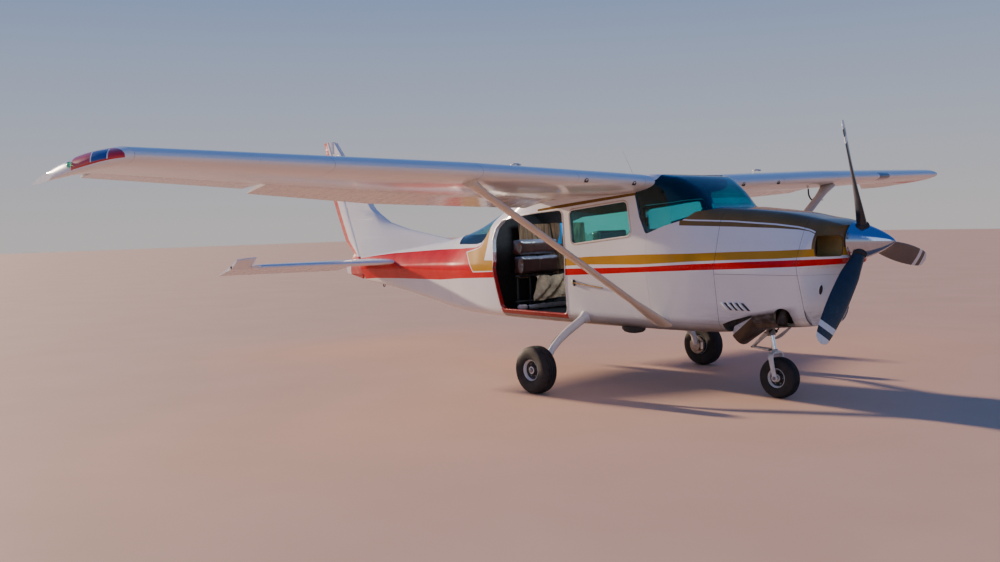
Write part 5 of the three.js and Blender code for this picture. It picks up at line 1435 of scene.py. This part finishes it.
def make_wheel(word, wheel, s, body, tyre_node, rim_node):
    """A tyre, and a rim with vents between its bolts and a valve."""
    middle, h, rim = s * wheel["y"], wheel["w"] / 2, wheel["rim"]

    def around(a, radius, y):
        return (wheel["x"] + radius * math.cos(a), middle + y, wheel["z"] + radius * math.sin(a))

    centre = around(0, 0, 0)
    tyre = turned("tyre_" + word, tyre_profile(wheel), centre, (0, 1, 0), M["tyre"], sides=120, angle=32)
    dress(tyre, tyre_node, body)
    enamel = wheel_material("wheel_enamel_" + word, wheel)
    disc = turned("rim", wheel_profile(wheel), centre, (0, 1, 0), enamel, sides=96, angle=32)
    for a in turns(BOLTS) + math.pi / BOLTS:
        cut(disc, tube("vent", [around(a, 0.66 * rim, -h), around(a, 0.66 * rim, h)], 8.5, M["black"], 16))
    parts = [shade(disc, 32)]
    for a in turns(BOLTS):
        parts += [hex_bolt(around(a, 0.62 * rim, side * h * 0.36), (0, side, 0), 6.5) for side in (-1, 1)]
    out = s or -1
    valve = [around(0.9, rim - 20, out * (h * 0.4 + d)) for d in (0, 22)]
    parts.append(tube("valve", valve, 4, M["black"], 10))
    group("wheel_" + word, parts, 32, rim_node, body)


LEG = [(1225, 470, 700), (1231, 800, 536), (1286, 1035, 408), (1288, 1112, 262)]
AXLE_NUT = [(0, 0.2), (0, 19), (6, 21), (14, 21), (18, 17), (20, 0.2)]
BRAKE_DISC = [(-60, 0.2), (-60, 58), (-56, 62), (-48, 62), (-44, 58), (-30, 56), (-28, 80), (-28, 93),
              (-27, 95), (-20, 95), (-19, 93), (-19, 54), (-9, 50), (-9, 0.2)]
LEG_FAIRING = [(-20, 52), (-14, 60), (0, 64), (16, 58), (40, 50), (60, 46), (62, 43), (-20, 43), (-20, 52)]


def main_legs():
    """Tapered legs, each with an axle, a brake disc, a caliper, a brake line and a fairing at the belly."""
    inner = MAIN["y"] - MAIN["w"] / 2
    for word, s in SIDES:

        def on_axle(y):
            return (MAIN["x"], s * y, MAIN["z"])

        path = smooth_path([(x, s * y, z) for x, y, z in LEG], 10)
        caliper = rounded([(62, -38, 8), (98, -34, 10), (98, 34, 10), (62, 38, 8)], 4)
        rings = [[(MAIN["x"] + u, s * (inner + y), MAIN["z"] + v) for u, v in caliper]
                 for y in (-50, -46, -16, -12)]
        hose = [(x - 30 * (i > 0), s * y, z + 26 * (i < 3)) for i, (x, y, z) in enumerate(LEG)]
        hose = smooth_path(hose + [(1350, s * (inner - 40), 276)], 8)
        group("gear_leg_" + word, [
            tube("leg", path, np.linspace(44, 27, len(path)), M["white"], 28),
            tube("axle", [on_axle(inner - 56), on_axle(MAIN["y"] + 62)], 19.5, M["steel"], 32),
            turned("nut", AXLE_NUT, on_axle(MAIN["y"] + 58), (0, s, 0), M["steel"], sides=6, angle=30),
            turned("disc", BRAKE_DISC, on_axle(inner), (0, s, 0), M["brake"], sides=72, angle=30),
            loft("caliper", rings, M["alloy"]),
            tube("brake_line", hose[2:], 4.5, M["black"], 10)], 35, "main_leg_" + word)
        dress(turned("leg_fairing_" + word, LEG_FAIRING, (1226, s * 500, 686), (0, s * 0.89, -0.456),
                     M["white"], sides=48, angle=40))


LEAN = math.radians(12)
AXIS = Vector((-math.sin(LEAN), 0, math.cos(LEAN)))
FORWARD = Vector((math.cos(LEAN), 0, math.sin(LEAN)))
SIDEWAYS = Vector((0, 1, 0))
FORK_Y = NOSE["w"] / 2 + 13
# Fork legs: place up the leg, place y, half length and half thickness of the section
FORK_LEVELS = (
    (0, FORK_Y, 25, 7), (40, FORK_Y, 22, 7), (110, FORK_Y, 22, 7.5), (165, FORK_Y, 24, 8),
    (190, FORK_Y - 1, 27, 9), (208, FORK_Y - 9, 29, 10), (217, FORK_Y - 26, 30, 11), (220, 30, 30, 12),
    (220, 0, 30, 13))
# Torque links: part of the way to the knee, place y, half width and half thickness of the section
LINK_LEVELS = ((0, 34, 10, 6), (0.15, 32.3, 10, 6), (0.55, 21.08, 8, 5), (0.9, 16, 8, 6), (1.0, 14, 9, 7))
LINK_ENDS = ((408, -36), (250, -30))
# Turned parts of the leg: place up the leg, radius
BARREL = [(486, 0.2), (486, 24), (486, 37), (490, 39), (500, 39), (503, 35), (560, 34), (566, 38), (590, 38),
          (596, 34), (872, 34), (876, 30), (876, 0.2)]
PISTON = [(206, 0.2), (206, 22.5), (484, 22.5), (484, 0.2)]
COLLAR = [(508, 34.8), (508, 44), (512, 46), (544, 46), (548, 44), (548, 34.8), (508, 34.8)]
SLEEVE = [(372, 22.4), (372, 31), (376, 37), (392, 37), (395, 33), (414, 33), (417, 39), (438, 39), (441, 33),
          (476, 33), (482, 31), (482, 22.4), (372, 22.4)]
CROWN = [(204, 0.2), (204, 29), (208, 32), (238, 32), (246, 27), (252, 22)]
AXLE_PAD = [(-8, 0.2), (-8, 27), (-6, 29), (7, 29), (9, 27), (9, 14), (16, 13), (17, 0.2)]


def on_oleo(d, y=0.0, out=0.0):
    """A point up the nose leg, offset sideways and to the front."""
    return Vector(NOSE_CENTRE) + AXIS * d + SIDEWAYS * y + FORWARD * out


def round_oleo(profile, finish, angle=32):
    return turned("ring", profile, NOSE_CENTRE, AXIS, M[finish], angle=angle)


def cross_rod(x, z, half, radius=8, sides=16):
    return tube("rod", [(x, -half, z), (x, half, z)], radius, M["steel"], sides)


def nose_leg():
    parts = [round_oleo(BARREL, "white")]
    for z, height in ((840, 60), (1010, 40)):
        x = on_oleo(z - NOSE["z"]).x
        outline = rounded([(2801, -46, 6), (x, -46, 40), (x, 46, 40), (2801, 46, 6)], 6)
        parts.append(plan_prism("bracket", outline, z, z + height, M["steel"]))
    group("nose_leg_upper", parts, 35, "nose_oleo")


def nose_fork():
    """Piston, collars, steering arms and rods, fork, torque links and axle."""
    parts = [round_oleo(PISTON, "chrome", 40), round_oleo(COLLAR, "alloy"), round_oleo(SLEEVE, "steel")]
    for _, s in SIDES:
        rod = smooth_path([on_oleo(402, s * 52, 10), on_oleo(420, s * 48, 46), on_oleo(462, s * 40, 78)], 4)
        parts += [
            tube("steering_arm", [on_oleo(404, s * 20, 8), on_oleo(404, s * 64, 8)], 8.5, M["steel"], 20),
            hex_bolt(on_oleo(404, s * 62, 8), (0, s, 0), 16),
            tube("steering_rod", rod, 6, M["black"], 12)]
    parts.append(round_oleo(CROWN, "fork"))
    for _, s in SIDES:
        rings = []
        for d, y, a, b in FORK_LEVELS:
            tilt = min(1.0, max(0.0, (d - 165) / 55)) * math.pi / 2
            flat = SIDEWAYS * (s * math.cos(tilt)) + AXIS * math.sin(tilt)
            rings.append([on_oleo(d, s * y) + FORWARD * u + flat * v
                          for u, v in rounded_box(a, b, b * 0.6, 4)])
        parts += [
            loft("fork", rings, M["fork"]),
            turned("axle_pad", AXLE_PAD, on_oleo(0, s * FORK_Y), (0, s, 0), M["fork"], sides=48, angle=32),
            hex_bolt(on_oleo(0, s * (FORK_Y + 9)), (0, s, 0), 16)]
    knee = on_oleo(304, 0, -216)
    ends = [on_oleo(d, 0, out) for d, out in LINK_ENDS]
    for start in ends:
        normal = (knee - start).normalized().cross(SIDEWAYS).normalized()
        for _, s in SIDES:
            rings = []
            for t, y, a, b in LINK_LEVELS:
                centre = start + (knee - start) * t + SIDEWAYS * (s * y)
                rings.append([centre + normal * u + SIDEWAYS * v for u, v in rounded_box(a, b, 3, 3)])
            parts.append(loft("link", rings, M["alloy"]))
    parts.append(cross_rod(knee.x, knee.z, 26))
    parts += [cross_rod(end.x, end.z, 42) for end in ends]
    parts.append(cross_rod(NOSE["x"], NOSE["z"], FORK_Y, 19.5, 32))
    group("nose_fork_leg", parts, 35, "nose_fork", "nose_fork_body")


make_wheel("main_right", MAIN, -1, "main_wheel_body_right", "main_tyre_right", "main_wheel_right")
make_wheel("main_left", MAIN, 1, "main_wheel_body_left", "main_tyre_left", "main_wheel_left")
make_wheel("nose", NOSE, 0, "nose_wheel_body", "nose_tyre", "nose_wheel")
main_legs()
nose_leg()
nose_fork()

# Cabin

FLOOR_Z = 672
BLOW_FRAMES = 20
SEAM_WIDTH = 0.045


def blown(obj, start):
    """How far each point moves when cloth pressure blows an object up."""
    cloth = obj.modifiers.new("cloth", "CLOTH")
    cloth.settings.quality = 4
    cloth.settings.use_pressure = True
    cloth.settings.uniform_pressure_force = 4
    cloth.settings.effector_weights.gravity = 0
    cloth.point_cache.frame_start, cloth.point_cache.frame_end = 1, BLOW_FRAMES
    scene = bpy.context.scene
    for number in range(1, BLOW_FRAMES + 1):
        scene.frame_set(number)
    graph = bpy.context.evaluated_depsgraph_get()
    moved = np.array([v.co for v in obj.evaluated_get(graph).data.vertices])
    obj.modifiers.clear()
    scene.frame_set(1)
    return moved - start


def pad(name, low, high, bulge, material, node=None, lean=0.0, seam=()):
    """A stuffed cushion: a rounded block blown up by cloth pressure, then creased along its seams."""
    low, high = Vector(low), Vector(high)
    size, middle = high - low, (high + low) / 2
    work = bmesh.new()
    bmesh.ops.create_cube(work, size=1.0)
    bmesh.ops.scale(work, vec=(size * 0.94) / 1000, verts=work.verts)
    bmesh.ops.subdivide_edges(work, edges=work.edges, cuts=5, use_grid_fill=True)
    data = bpy.data.meshes.new(name)
    work.to_mesh(data)
    work.free()
    obj = make_object(name, data, material)
    soften = obj.modifiers.new("round", "BEVEL")
    soften.width = min(size) / 1000 * 0.30
    soften.segments = 5
    remesh = obj.modifiers.new("remesh", "REMESH")
    remesh.mode = "VOXEL"
    remesh.voxel_size = 0.011
    bake(obj)
    start = np.array([v.co for v in obj.data.vertices])
    shift = blown(obj, start)
    length = np.linalg.norm(shift, axis=1, keepdims=True)
    shift *= np.minimum(1, mm(bulge) / np.maximum(length, 1e-9))
    half = np.array(size) / 2000
    place = np.clip(start + shift, -half, half)
    for axis, spot, deep in seam:
        crease = np.exp(-((place[:, axis] / half[axis] - spot) / SEAM_WIDTH) ** 2)
        place -= place * (crease * mm(deep) / np.maximum(np.linalg.norm(place, axis=1), 1e-6))[:, None]
    if lean:
        place = place @ np.array(Matrix.Rotation(math.radians(lean), 3, "Y")).T
    obj.data.vertices.foreach_set("co", (place + metres(middle)).ravel())
    obj.modifiers.new("fine", "SUBSURF").levels = 1
    bake(obj).data.shade_smooth()
    dress(obj, node)


def bench():
    pad("bench_cushion_upper", (-92, -304, 1262), (46, 300, 1430), 12, M["leather"], "seat_rear_bench",
        seam=((1, -0.33, 5), (1, 0.36, 5)))
    pad("bench_cushion_lower", (-78, -300, 1050), (58, 304, 1254), 12, M["leather"], seam=((1, 0.02, 5),))
    parts = []
    for y in (-270, -90, 90, 250):
        parts.append(tube("post", [(-20, y, FLOOR_Z), (-24, y, 1052)], 13, M["black"], 16))
    for z in (760, 1036):
        run = smooth_path([(-22, -300, z), (10, -290, z), (14, 0, z), (10, 270, z), (-22, 280, z)], 6)
        parts.append(tube("rail", run, 11, M["black"], 14))
    group("bench_frame", parts, 40)


def front_seats():
    for word, y in (("left", 265), ("right", -265)):
        pad("front_seat_cushion_" + word, (1400, y - 226, 890), (1866, y + 226, 1018), 14, M["trim_leather"],
            "seat_front_" + word, seam=((1, -0.55, 6), (1, 0.55, 6)))
        pad("front_seat_back_" + word, (1312, y - 222, 1035), (1426, y + 222, 1545), 14, M["trim_leather"],
            lean=-9, seam=((2, -0.2, 6), (2, 0.35, 6)))
        parts = []
        for rail in (y - 170, y + 170):
            z = FLOOR_Z + 12
            parts.append(tube("rail", [(1400, rail, z), (1850, rail, z)], 11, M["alloy"], 14))
            for x in (1440, 1800):
                parts.append(tube("leg", [(x, rail, FLOOR_Z + 10), (x + 10, rail, 905)], 12, M["black"], 14))
        group("front_seat_frame_" + word, parts, 40)


def on_side(x, z, s=-1, lift=0.0):
    """The point of the fuselage skin at a station and height, lifted off it sideways."""
    low, high, bottom, belt, top, belt_z, r1, r2, r3 = eased_row(FUSELAGE, x)
    ring = rounded([(bottom, low, r1), (belt, belt_z, r2), (top, high, r3), (0, high, 1), (0, low, 1)], 8)
    best = max((a[0] + (b[0] - a[0]) * (z - a[1]) / (b[1] - a[1]) for a, b in zip(ring, ring[1:] + ring[:1])
                if (a[1] - z) * (b[1] - z) <= 0 and a[1] != b[1]), default=bottom)
    return Vector((x, s * (best + lift), z))


def curtain_point(u, v):
    fold = math.sin(u * 42 + 1.2 * math.sin(v * 3 + u * 9)) * (9 + 4.0 * v) + math.sin(u * 19 + v * 4) * 3.5
    return (-160 + fold, -124 + 616 * u + 6 * math.sin(v * 5 + u * 30),
            1594 - 590 * v - 8 * math.sin(u * 14) * v)


def side_curtain_point(u, v):
    x, z = -128 + 430 * u, 1600 - 520 * v
    fold = math.sin(u * 34 + v * 3) * (7 + 4 * v) + math.sin(u * 15 - v * 2) * 4
    return (x, on_side(x, z, 1, -62).y - 12 + fold, z)


def blanket_point(u, v):
    left = -125 - 165 * v ** 1.7
    fold = math.sin(u * 17 + v * 8.5 + 1.1 * math.sin(v * 6 + u * 5)) * (11 + 13 * v)
    fold += math.sin(u * 41 - v * 9) * (3 + 3 * v)
    z = 1033 - 262 * v + 3 * math.sin(u * 23) + (1 - v) * 6 * math.sin(u * 9) + 40 * v * u
    return (116 + 112 * v + fold * (1 if v < 0.92 else 0.6), left + (326 - left) * u, z)


def cloth_sheet(name, point, rows, columns, material, node):
    """One sheet from a function that gives the point at its parts u across and v down."""
    points = metres([point(j / (columns - 1), i / (rows - 1)) for i in range(rows) for j in range(columns)])
    faces = [(k, k + 1, k + columns + 1, k + columns)
             for i in range(rows - 1) for k in range(i * columns, i * columns + columns - 1)]
    obj = mesh_object(name, points, faces, material)
    obj.data.shade_smooth()
    dress(obj, node)


def bolster():
    """A rolled cover and a pale rail on the floor at the opening."""
    parts = []
    for y0, y1, tall, finish, taper in ((-352, -216, 56, "bulb", 38), (-196, 404, 50, "bar", 12)):
        rings = []
        for y in np.linspace(y0, y1, 30):
            swell = 1 + 0.08 * math.sin(y * 0.05) + 0.05 * math.sin(y * 0.013)
            end = max(0.22, min(1, (min(y - y0, y1 - y) + 3) / taper) ** 0.5)
            h, r = tall / 2 * swell * end, 20 * end
            low, high = 676 + tall / 2 - h, 676 + tall / 2 + h
            shape = rounded([(-30 * end, low, r), (34 * end, low, r), (30 * end, high, r),
                             (-26 * end, high, r)], 6)
            rings.append([(62 + u, y, z) for u, z in shape])
        parts.append(loft("roll", rings, M[finish], angle=50))
    parts.append(tube("core", [(62, -240, 700), (62, -180, 700)], 12, M["black"], 20))
    group("floor_bolster", parts, 50)


# Dials: place y, height z, radius
DIALS = ((250, 1500, 40), (345, 1500, 40), (155, 1500, 40), (250, 1405, 40), (345, 1405, 40), (155, 1405, 40),
         (30, 1520, 28), (-40, 1520, 28), (-110, 1520, 28), (-200, 1500, 36), (-300, 1480, 36),
         (380, 1330, 24), (440, 1400, 24))
KNOB = [(6, 0.3), (6, 8), (16, 7), (18, 5), (18, 0.3)]
BACKWARDS = (-1, 0, 0)
RADIOS = 4


def panel_x(z):
    return 2326 - (z - 1250) * 0.035


def instruments():
    parts = []
    for y, z, r in DIALS:
        x = panel_x(z)
        bezel = [(0, r), (7, r), (9, r - 3), (6, r - 6), (3, r - 7), (3, 0.3), (0, 0.3), (0, r)]
        face = [(3.2, 0.3), (3.2, r - 7), (4.0, r - 7.2), (4.0, 0.3)]
        a = (y * 7 + z * 3) % 6.28
        end = (x - 4.6, y + (r - 12) * math.cos(a), z + (r - 12) * math.sin(a))
        parts += [turned("bezel", bezel, (x, y, z), BACKWARDS, M["black"], sides=40),
                  turned("face", face, (x, y, z), BACKWARDS, M["dial"], sides=40),
                  tube("needle", [(x - 4.6, y, z), end], [1.6, 0.6], M["white"], 8)]
    for k in range(RADIOS):
        z = 1478 - k * 48
        x = panel_x(z)
        shape = rounded_box(78, 20, 4, 4)
        rings = [[(place, u - 35, z + v) for u, v in shape] for place in (x, x - 6, x - 7)]
        parts.append(loft("radio", rings, M["dial"], angle=35))
        parts += [turned("knob", KNOB, (x, y, z), BACKWARDS, M["black"], sides=20) for y in (-93, 23)]
    group("panel_instruments", parts, 35)


def control_wheels():
    parts = []
    grip = [(0, 0), (45, -6), (95, 4), (132, 34), (142, 82), (132, 112)]
    for _, s in SIDES:
        y = s * 262
        parts.append(tube("shaft", [(2322, y, 1330), (2205, y, 1338)], 12, M["chrome"], 20))
        hub = [(0, 0.3), (0, 34), (8, 36), (20, 30), (24, 0.3)]
        parts.append(turned("hub", hub, (2212, y, 1338), (-1, 0, 0.05), M["black"], sides=32))
        for _, way in SIDES:
            run = smooth_path([(2200, y + way * u, 1338 + v) for u, v in grip], 7)
            parts.append(tube("grip", run, [12] * 8 + [13] * 28, M["black"], 16))
    group("control_wheels", parts, 40)


def compass():
    case = [(-22, 0.3), (-22, 20), (-16, 27), (10, 27), (16, 22), (18, 0.3)]
    post = smooth_path([(2330, 0, 1768), (2318, 0, 1830), (2290, 0, 1900)], 6)
    group("compass", [turned("case", case, (2330, 0, 1742), BACKWARDS, M["black"], sides=40),
                      tube("post", post, 7, M["black"], 12)], 40)


bench()
front_seats()
cloth_sheet("curtain", curtain_point, 60, 170, M["curtain"], "rear_curtain")
cloth_sheet("side_curtain", side_curtain_point, 50, 110, M["hemmed"], None)
cloth_sheet("blanket", blanket_point, 64, 120, M["cloth"], "seat_blanket")
bolster()
instruments()
control_wheels()
compass()

# Outside details

LOUVRES = 4
UPWARDS = Vector((0, 0, 1))


def louvres():
    """Pressed scoops on each side of the cowl, each over a dark slit."""
    for word, s in SIDES:
        parts = []
        out = Vector((0, s, -0.25)).normalized()
        ahead = Vector((10, 0, 0))
        for k in range(LOUVRES):
            x0 = 2838 + k * 55
            rings = []
            for t in np.linspace(0, 1, 9):
                rise = 15 * math.sin(math.pi * t) ** 0.5 if 0 < t < 1 else 0
                base = on_side(x0 + 66 - t * 66, 820 + 76 * t, s)
                tip = on_side(x0 + 98 - t * 66, 820 + 76 * t, s)
                rings.append([base - out * 3, base + out * (rise * 0.9), base + out * rise + ahead,
                              tip + out * 0.8, tip - out * 3])
            parts.append(loft("louvre", rings, M["livery"]))
            a, b = on_side(x0 + 96, 826, s, 0.8), on_side(x0 + 38, 890, s, 0.8)
            section = [Vector(p) for p in ((14, 0, 0), (-3, s * 12, 0), (-8, -s * 3, 0), (14, -s * 3, 0))]
            parts.append(loft("slit", [[p + q for q in section] for p in (a, (a + b) / 2, b)], M["black"]))
        group("cowl_louvres_" + word, parts, 35)


def bowl_vents():
    """An oval rim with a dark throat on each side of the nose bowl."""
    for word, s in SIDES:
        centre = Vector((3661, s * 262, 1012))
        normal = Vector((0.87, s * 0.44, -0.22)).normalized()
        across = normal.cross(UPWARDS).normalized()
        up = across.cross(normal)

        def oval(lift, wide, tall):
            return [centre + normal * lift + across * wide * math.cos(a) + up * tall * math.sin(a)
                    for a in turns(40)]

        rim = [oval(lift, 20 * grow, 49 * grow)
               for lift, grow in ((-14, 1.0), (3, 1.0), (5, 0.95), (5, 0.86), (2, 0.80), (-14, 0.78))]
        throat = loft("throat", [oval(-12, 16.5, 41), oval(3, 16.5, 41)], M["black"])
        group("bowl_vent_" + word, [loft("rim", rim, M["livery"], caps=False), throat], 40)


def handles():
    """A lever in a shallow dish on the right, a plain handle on the crew door."""
    spots = ((1121, 1022, 6), (1180, 1014, 12), (1320, 1000, 12), (1500, 980, 8), (1527, 976, 4))
    lever = smooth_path([on_side(x, z, -1, lift) for x, z, lift in spots], 6)
    dish = [(-3, 0.3), (-3, 32), (2, 33), (4, 30), (3, 22), (1, 0.3)]
    group("door_latch_right", [
        tube("lever", lever, 6.5, M["brass"], 14),
        tube("cross", [on_side(1150, 1046, -1, 9), on_side(1156, 984, -1, 9)], 9, M["black"], 14),
        turned("dish", dish, on_side(1152, 1015), (0, -1, -0.05), M["alloy"], sides=40, angle=40)], 40)
    spots = ((1180, 1010, 10), (1260, 1012, 16), (1330, 1014, 10))
    lever = smooth_path([on_side(x, z, 1, lift) for x, z, lift in spots], 6)
    group("door_handle_left", [tube("lever", lever, 7, M["alloy"], 14)], 40, body="crew_door_body")


def rubber_frame(name, outline, s, finish, width, radius, body="airframe"):
    """A round seal that runs about an opening on the side skin."""
    points = []
    ring = grown(OUTLINES[outline], width)
    for here, there in zip(ring, ring[1:] + ring[:1]):
        pieces = max(1, int(math.dist(here, there) / 40))
        for k in range(pieces):
            x, z = (a + (b - a) * k / pieces for a, b in zip(here, there))
            points.append(on_side(x, z, s, 4 - radius))
    dress(shade(tube(name, points + points[:1], radius, M[finish], 8, ends=False), 60), body=body)


def upright_ring(name, x, y, z, wide, tall, radius, finish):
    run = [(x + wide * math.cos(a), y, z + tall * math.sin(a)) for a in np.linspace(0, 2 * math.pi, 25)]
    dress(tube(name, run, radius, M[finish], 10, ends=False))


LENS = [(-30, 0.3), (-30, 18), (-10, 22), (8, 21), (20, 14), (26, 0.3)]
LENS_BASE = [(-44, 0.3), (-44, 24), (-32, 26), (-26, 22), (-26, 0.3)]
FUEL_CAP = [(-10, 0.3), (-10, 46), (2, 48), (5, 44), (5, 30), (9, 28), (10, 0.3)]
ROOT_VENT = [(-24, 0.3), (-24, 20), (1, 21), (4, 18), (4, 14), (-16, 13), (-16, 0.3)]


def wing_fittings():
    for (word, s), lens in zip(SIDES, ("green_lens", "red_lens")):
        place, way = (1438, s * 5424, 2062), (0.35, s, 0.05)
        group("nav_lamp_" + word, [turned("lens", LENS, place, way, M[lens], sides=32, angle=50),
                                   turned("base", LENS_BASE, place, way, M["alloy"], sides=32, angle=40)], 45)
        dress(turned("fuel_cap_" + word, FUEL_CAP, (1640, s * 1750, 2118), (0.05, 0, 1), M["alloy"],
                     sides=48))
        upright_ring("tie_down_" + word, 1700, s * 4200, wing_at(4200)[2] - 44, 16, 16, 4, "steel")
        parts = []
        for y in (805, 1405):
            x, z = section_point(wing_at(y), 0.004, -0.012)
            parts.append(turned("vent", ROOT_VENT, (x, s * y, z), (1, 0, -0.1), M["black"], sides=32))
        group("root_vents_" + word, parts, 35)


def landing_light(y0, y1, lift):
    """A strip of dark glass that follows the wing's leading edge, raised a little above its skin."""
    rings = []
    u = np.concatenate([np.linspace(0.17, 0, 9) ** 2, np.linspace(0, 0.23, 10)[1:] ** 2])
    upper, lower, _ = airfoil(u)
    v = np.concatenate([upper[:9], lower[9:]])
    for y in np.linspace(y0, y1, 9):
        x, z = section_point(wing_at(y), u, v)
        way = np.stack([np.gradient(x), np.gradient(z)], 1)
        way /= np.linalg.norm(way, axis=1)[:, None]
        rise = lift * max(0.15, math.sin(math.pi * (y - y0) / (y1 - y0))) ** 0.4
        outer = np.stack([x - way[:, 1] * rise, z + way[:, 0] * rise], 1)
        inner = np.stack([x + way[:, 1] * 5, z - way[:, 0] * 5], 1)[::-1]
        rings.append([(x, y, z) for x, z in np.concatenate([outer, inner])])
    dress(loft("landing_light", rings, M["lamp_glass"], angle=50))


def pitot_probe():
    x, z = section_point(wing_at(2700), 0.30, -0.055)
    mast = [(x, 2700, z + 14), (x + 8, 2700, z - 60), (x + 40, 2700, z - 108), (x + 90, 2700, z - 118)]
    group("pitot_probe", [
        tube("mast", smooth_path(mast, 6), 9, M["black"], 14),
        tube("probe", [(x + 84, 2700, z - 118), (x + 190, 2700, z - 119)], 6, M["alloy"], 14)], 40)


# Belly fairing: station x, half width, depth
FAIRING = ((1610, 8, 4), (1625, 26, 24), (1660, 40, 44), (1720, 46, 52), (1790, 46, 50), (1850, 38, 38),
           (1885, 20, 18), (1896, 6, 3))


def belly_fairing():
    rings = []
    for x, wide, deep in FAIRING:
        foot, low, radius = wide * 0.85, 598 - deep, deep * 0.5
        shape = rounded([(-wide, 610, 2), (wide, 610, 2), (foot, low, radius), (-foot, low, radius)], 6)
        rings.append([(x, u - 400, z) for u, z in shape])
    dress(loft("belly_fairing", rings, M["black"], angle=50))


def roof_whip():
    foot = [(-6, 0.3), (-6, 16), (4, 17), (10, 9), (12, 0.3)]
    whip = smooth_path([(1395, 52, 2030), (1330, 50, 2150), (1250, 48, 2300)], 6)
    group("roof_whip", [
        turned("foot", foot, (1395, 52, 2026), (-0.3, 0, 1), M["black"], sides=32, angle=40),
        tube("whip", whip, [2.2] * 7 + [1.5] * 6, M["alloy"], 10)], 40)


louvres()
bowl_vents()
handles()
rubber_frame("frame_front_right", "front", -1, "strut", 14, 8)
rubber_frame("frame_crew_door", "front", 1, "strut", 12, 8, "crew_door_body")
rubber_frame("frame_left_rear", "rear_left", 1, "strut", 14, 8)
rubber_frame("frame_cargo", "cargo", -1, "jamb", 7, 6)
wing_fittings()
landing_light(3560, 3815, 2.5)
pitot_probe()
belly_fairing()
roof_whip()
upright_ring("tail_tie_down", -2960, 0, 836, 20, 22, 6, "black")

# Stage and finish

SUN_RAY = (4.6, 0.60, -1.0)
SKY = ((0.0, (0.74, 0.70, 0.70)), (0.10, (0.56, 0.62, 0.76)), (0.30, (0.17, 0.33, 0.74)),
       (0.75, (0.02, 0.13, 0.52)))
SKY_STRENGTH = 0.74
GROUND = ((0.69, 0.43, 0.29), (0.74, 0.47, 0.325))
FLOOR_CORNERS = [(-80, -80, 0), (80, -80, 0), (80, 80, 0), (-80, 80, 0)]


def make_floor():
    s = Surface("pale_floor")
    finish = s.finished(s.tones(GROUND, 0.8, 5), s.noise(3, 4) * 0.1 + 0.75)
    mesh_object("floor", FLOOR_CORNERS, [(0, 1, 2, 3)], finish)


def make_sky():
    world = bpy.data.worlds.new("studio")
    world.use_nodes = True
    tree = world.node_tree
    background = tree.nodes["Background"]
    place = tree.nodes.new("ShaderNodeTexCoord")
    split = tree.nodes.new("ShaderNodeSeparateXYZ")
    ramp = tree.nodes.new("ShaderNodeValToRGB")
    stops = ramp.color_ramp
    for number, (position, colour) in enumerate((SKY[0], SKY[-1])):
        stops.elements[number].position = position
        stops.elements[number].color = (*colour, 1)
    for position, colour in SKY[1:-1]:
        stops.elements.new(position).color = (*colour, 1)
    tree.links.new(place.outputs["Generated"], split.inputs[0])
    tree.links.new(split.outputs[2], ramp.inputs[0])
    tree.links.new(ramp.outputs[0], background.inputs[0])
    background.inputs[1].default_value = SKY_STRENGTH
    bpy.context.scene.world = world


def lamp_at(name, kind, energy, colour, place, towards, size=None):
    data = bpy.data.lights.new(name, kind)
    data.energy = energy
    data.color = colour
    if size:
        data.size = size
    lamp = bpy.data.objects.new(name, data)
    lamp.location = place
    lamp.rotation_euler = Vector(towards).to_track_quat("-Z", "Y").to_euler()
    bpy.context.scene.collection.objects.link(lamp)
    return lamp


make_floor()
make_sky()
sun = lamp_at("low_sun", "SUN", 8.6, (1.0, 0.76, 0.54), (0, 0, 10), SUN_RAY)
sun.data.angle = 0.03
lamp_at("fill", "AREA", 230, (0.70, 0.82, 1.0), (12.0, -12.0, 7.0), (-11.0, 12.0, -6.0), 9.0)
cabin_place = metres((330, 60, 1640))[0]
cabin = lamp_at("cabin_light", "AREA", 3.4, (0.66, 0.82, 1.0), cabin_place, (-0.5, -0.05, -1.0), 0.4)
cabin.visible_camera = False
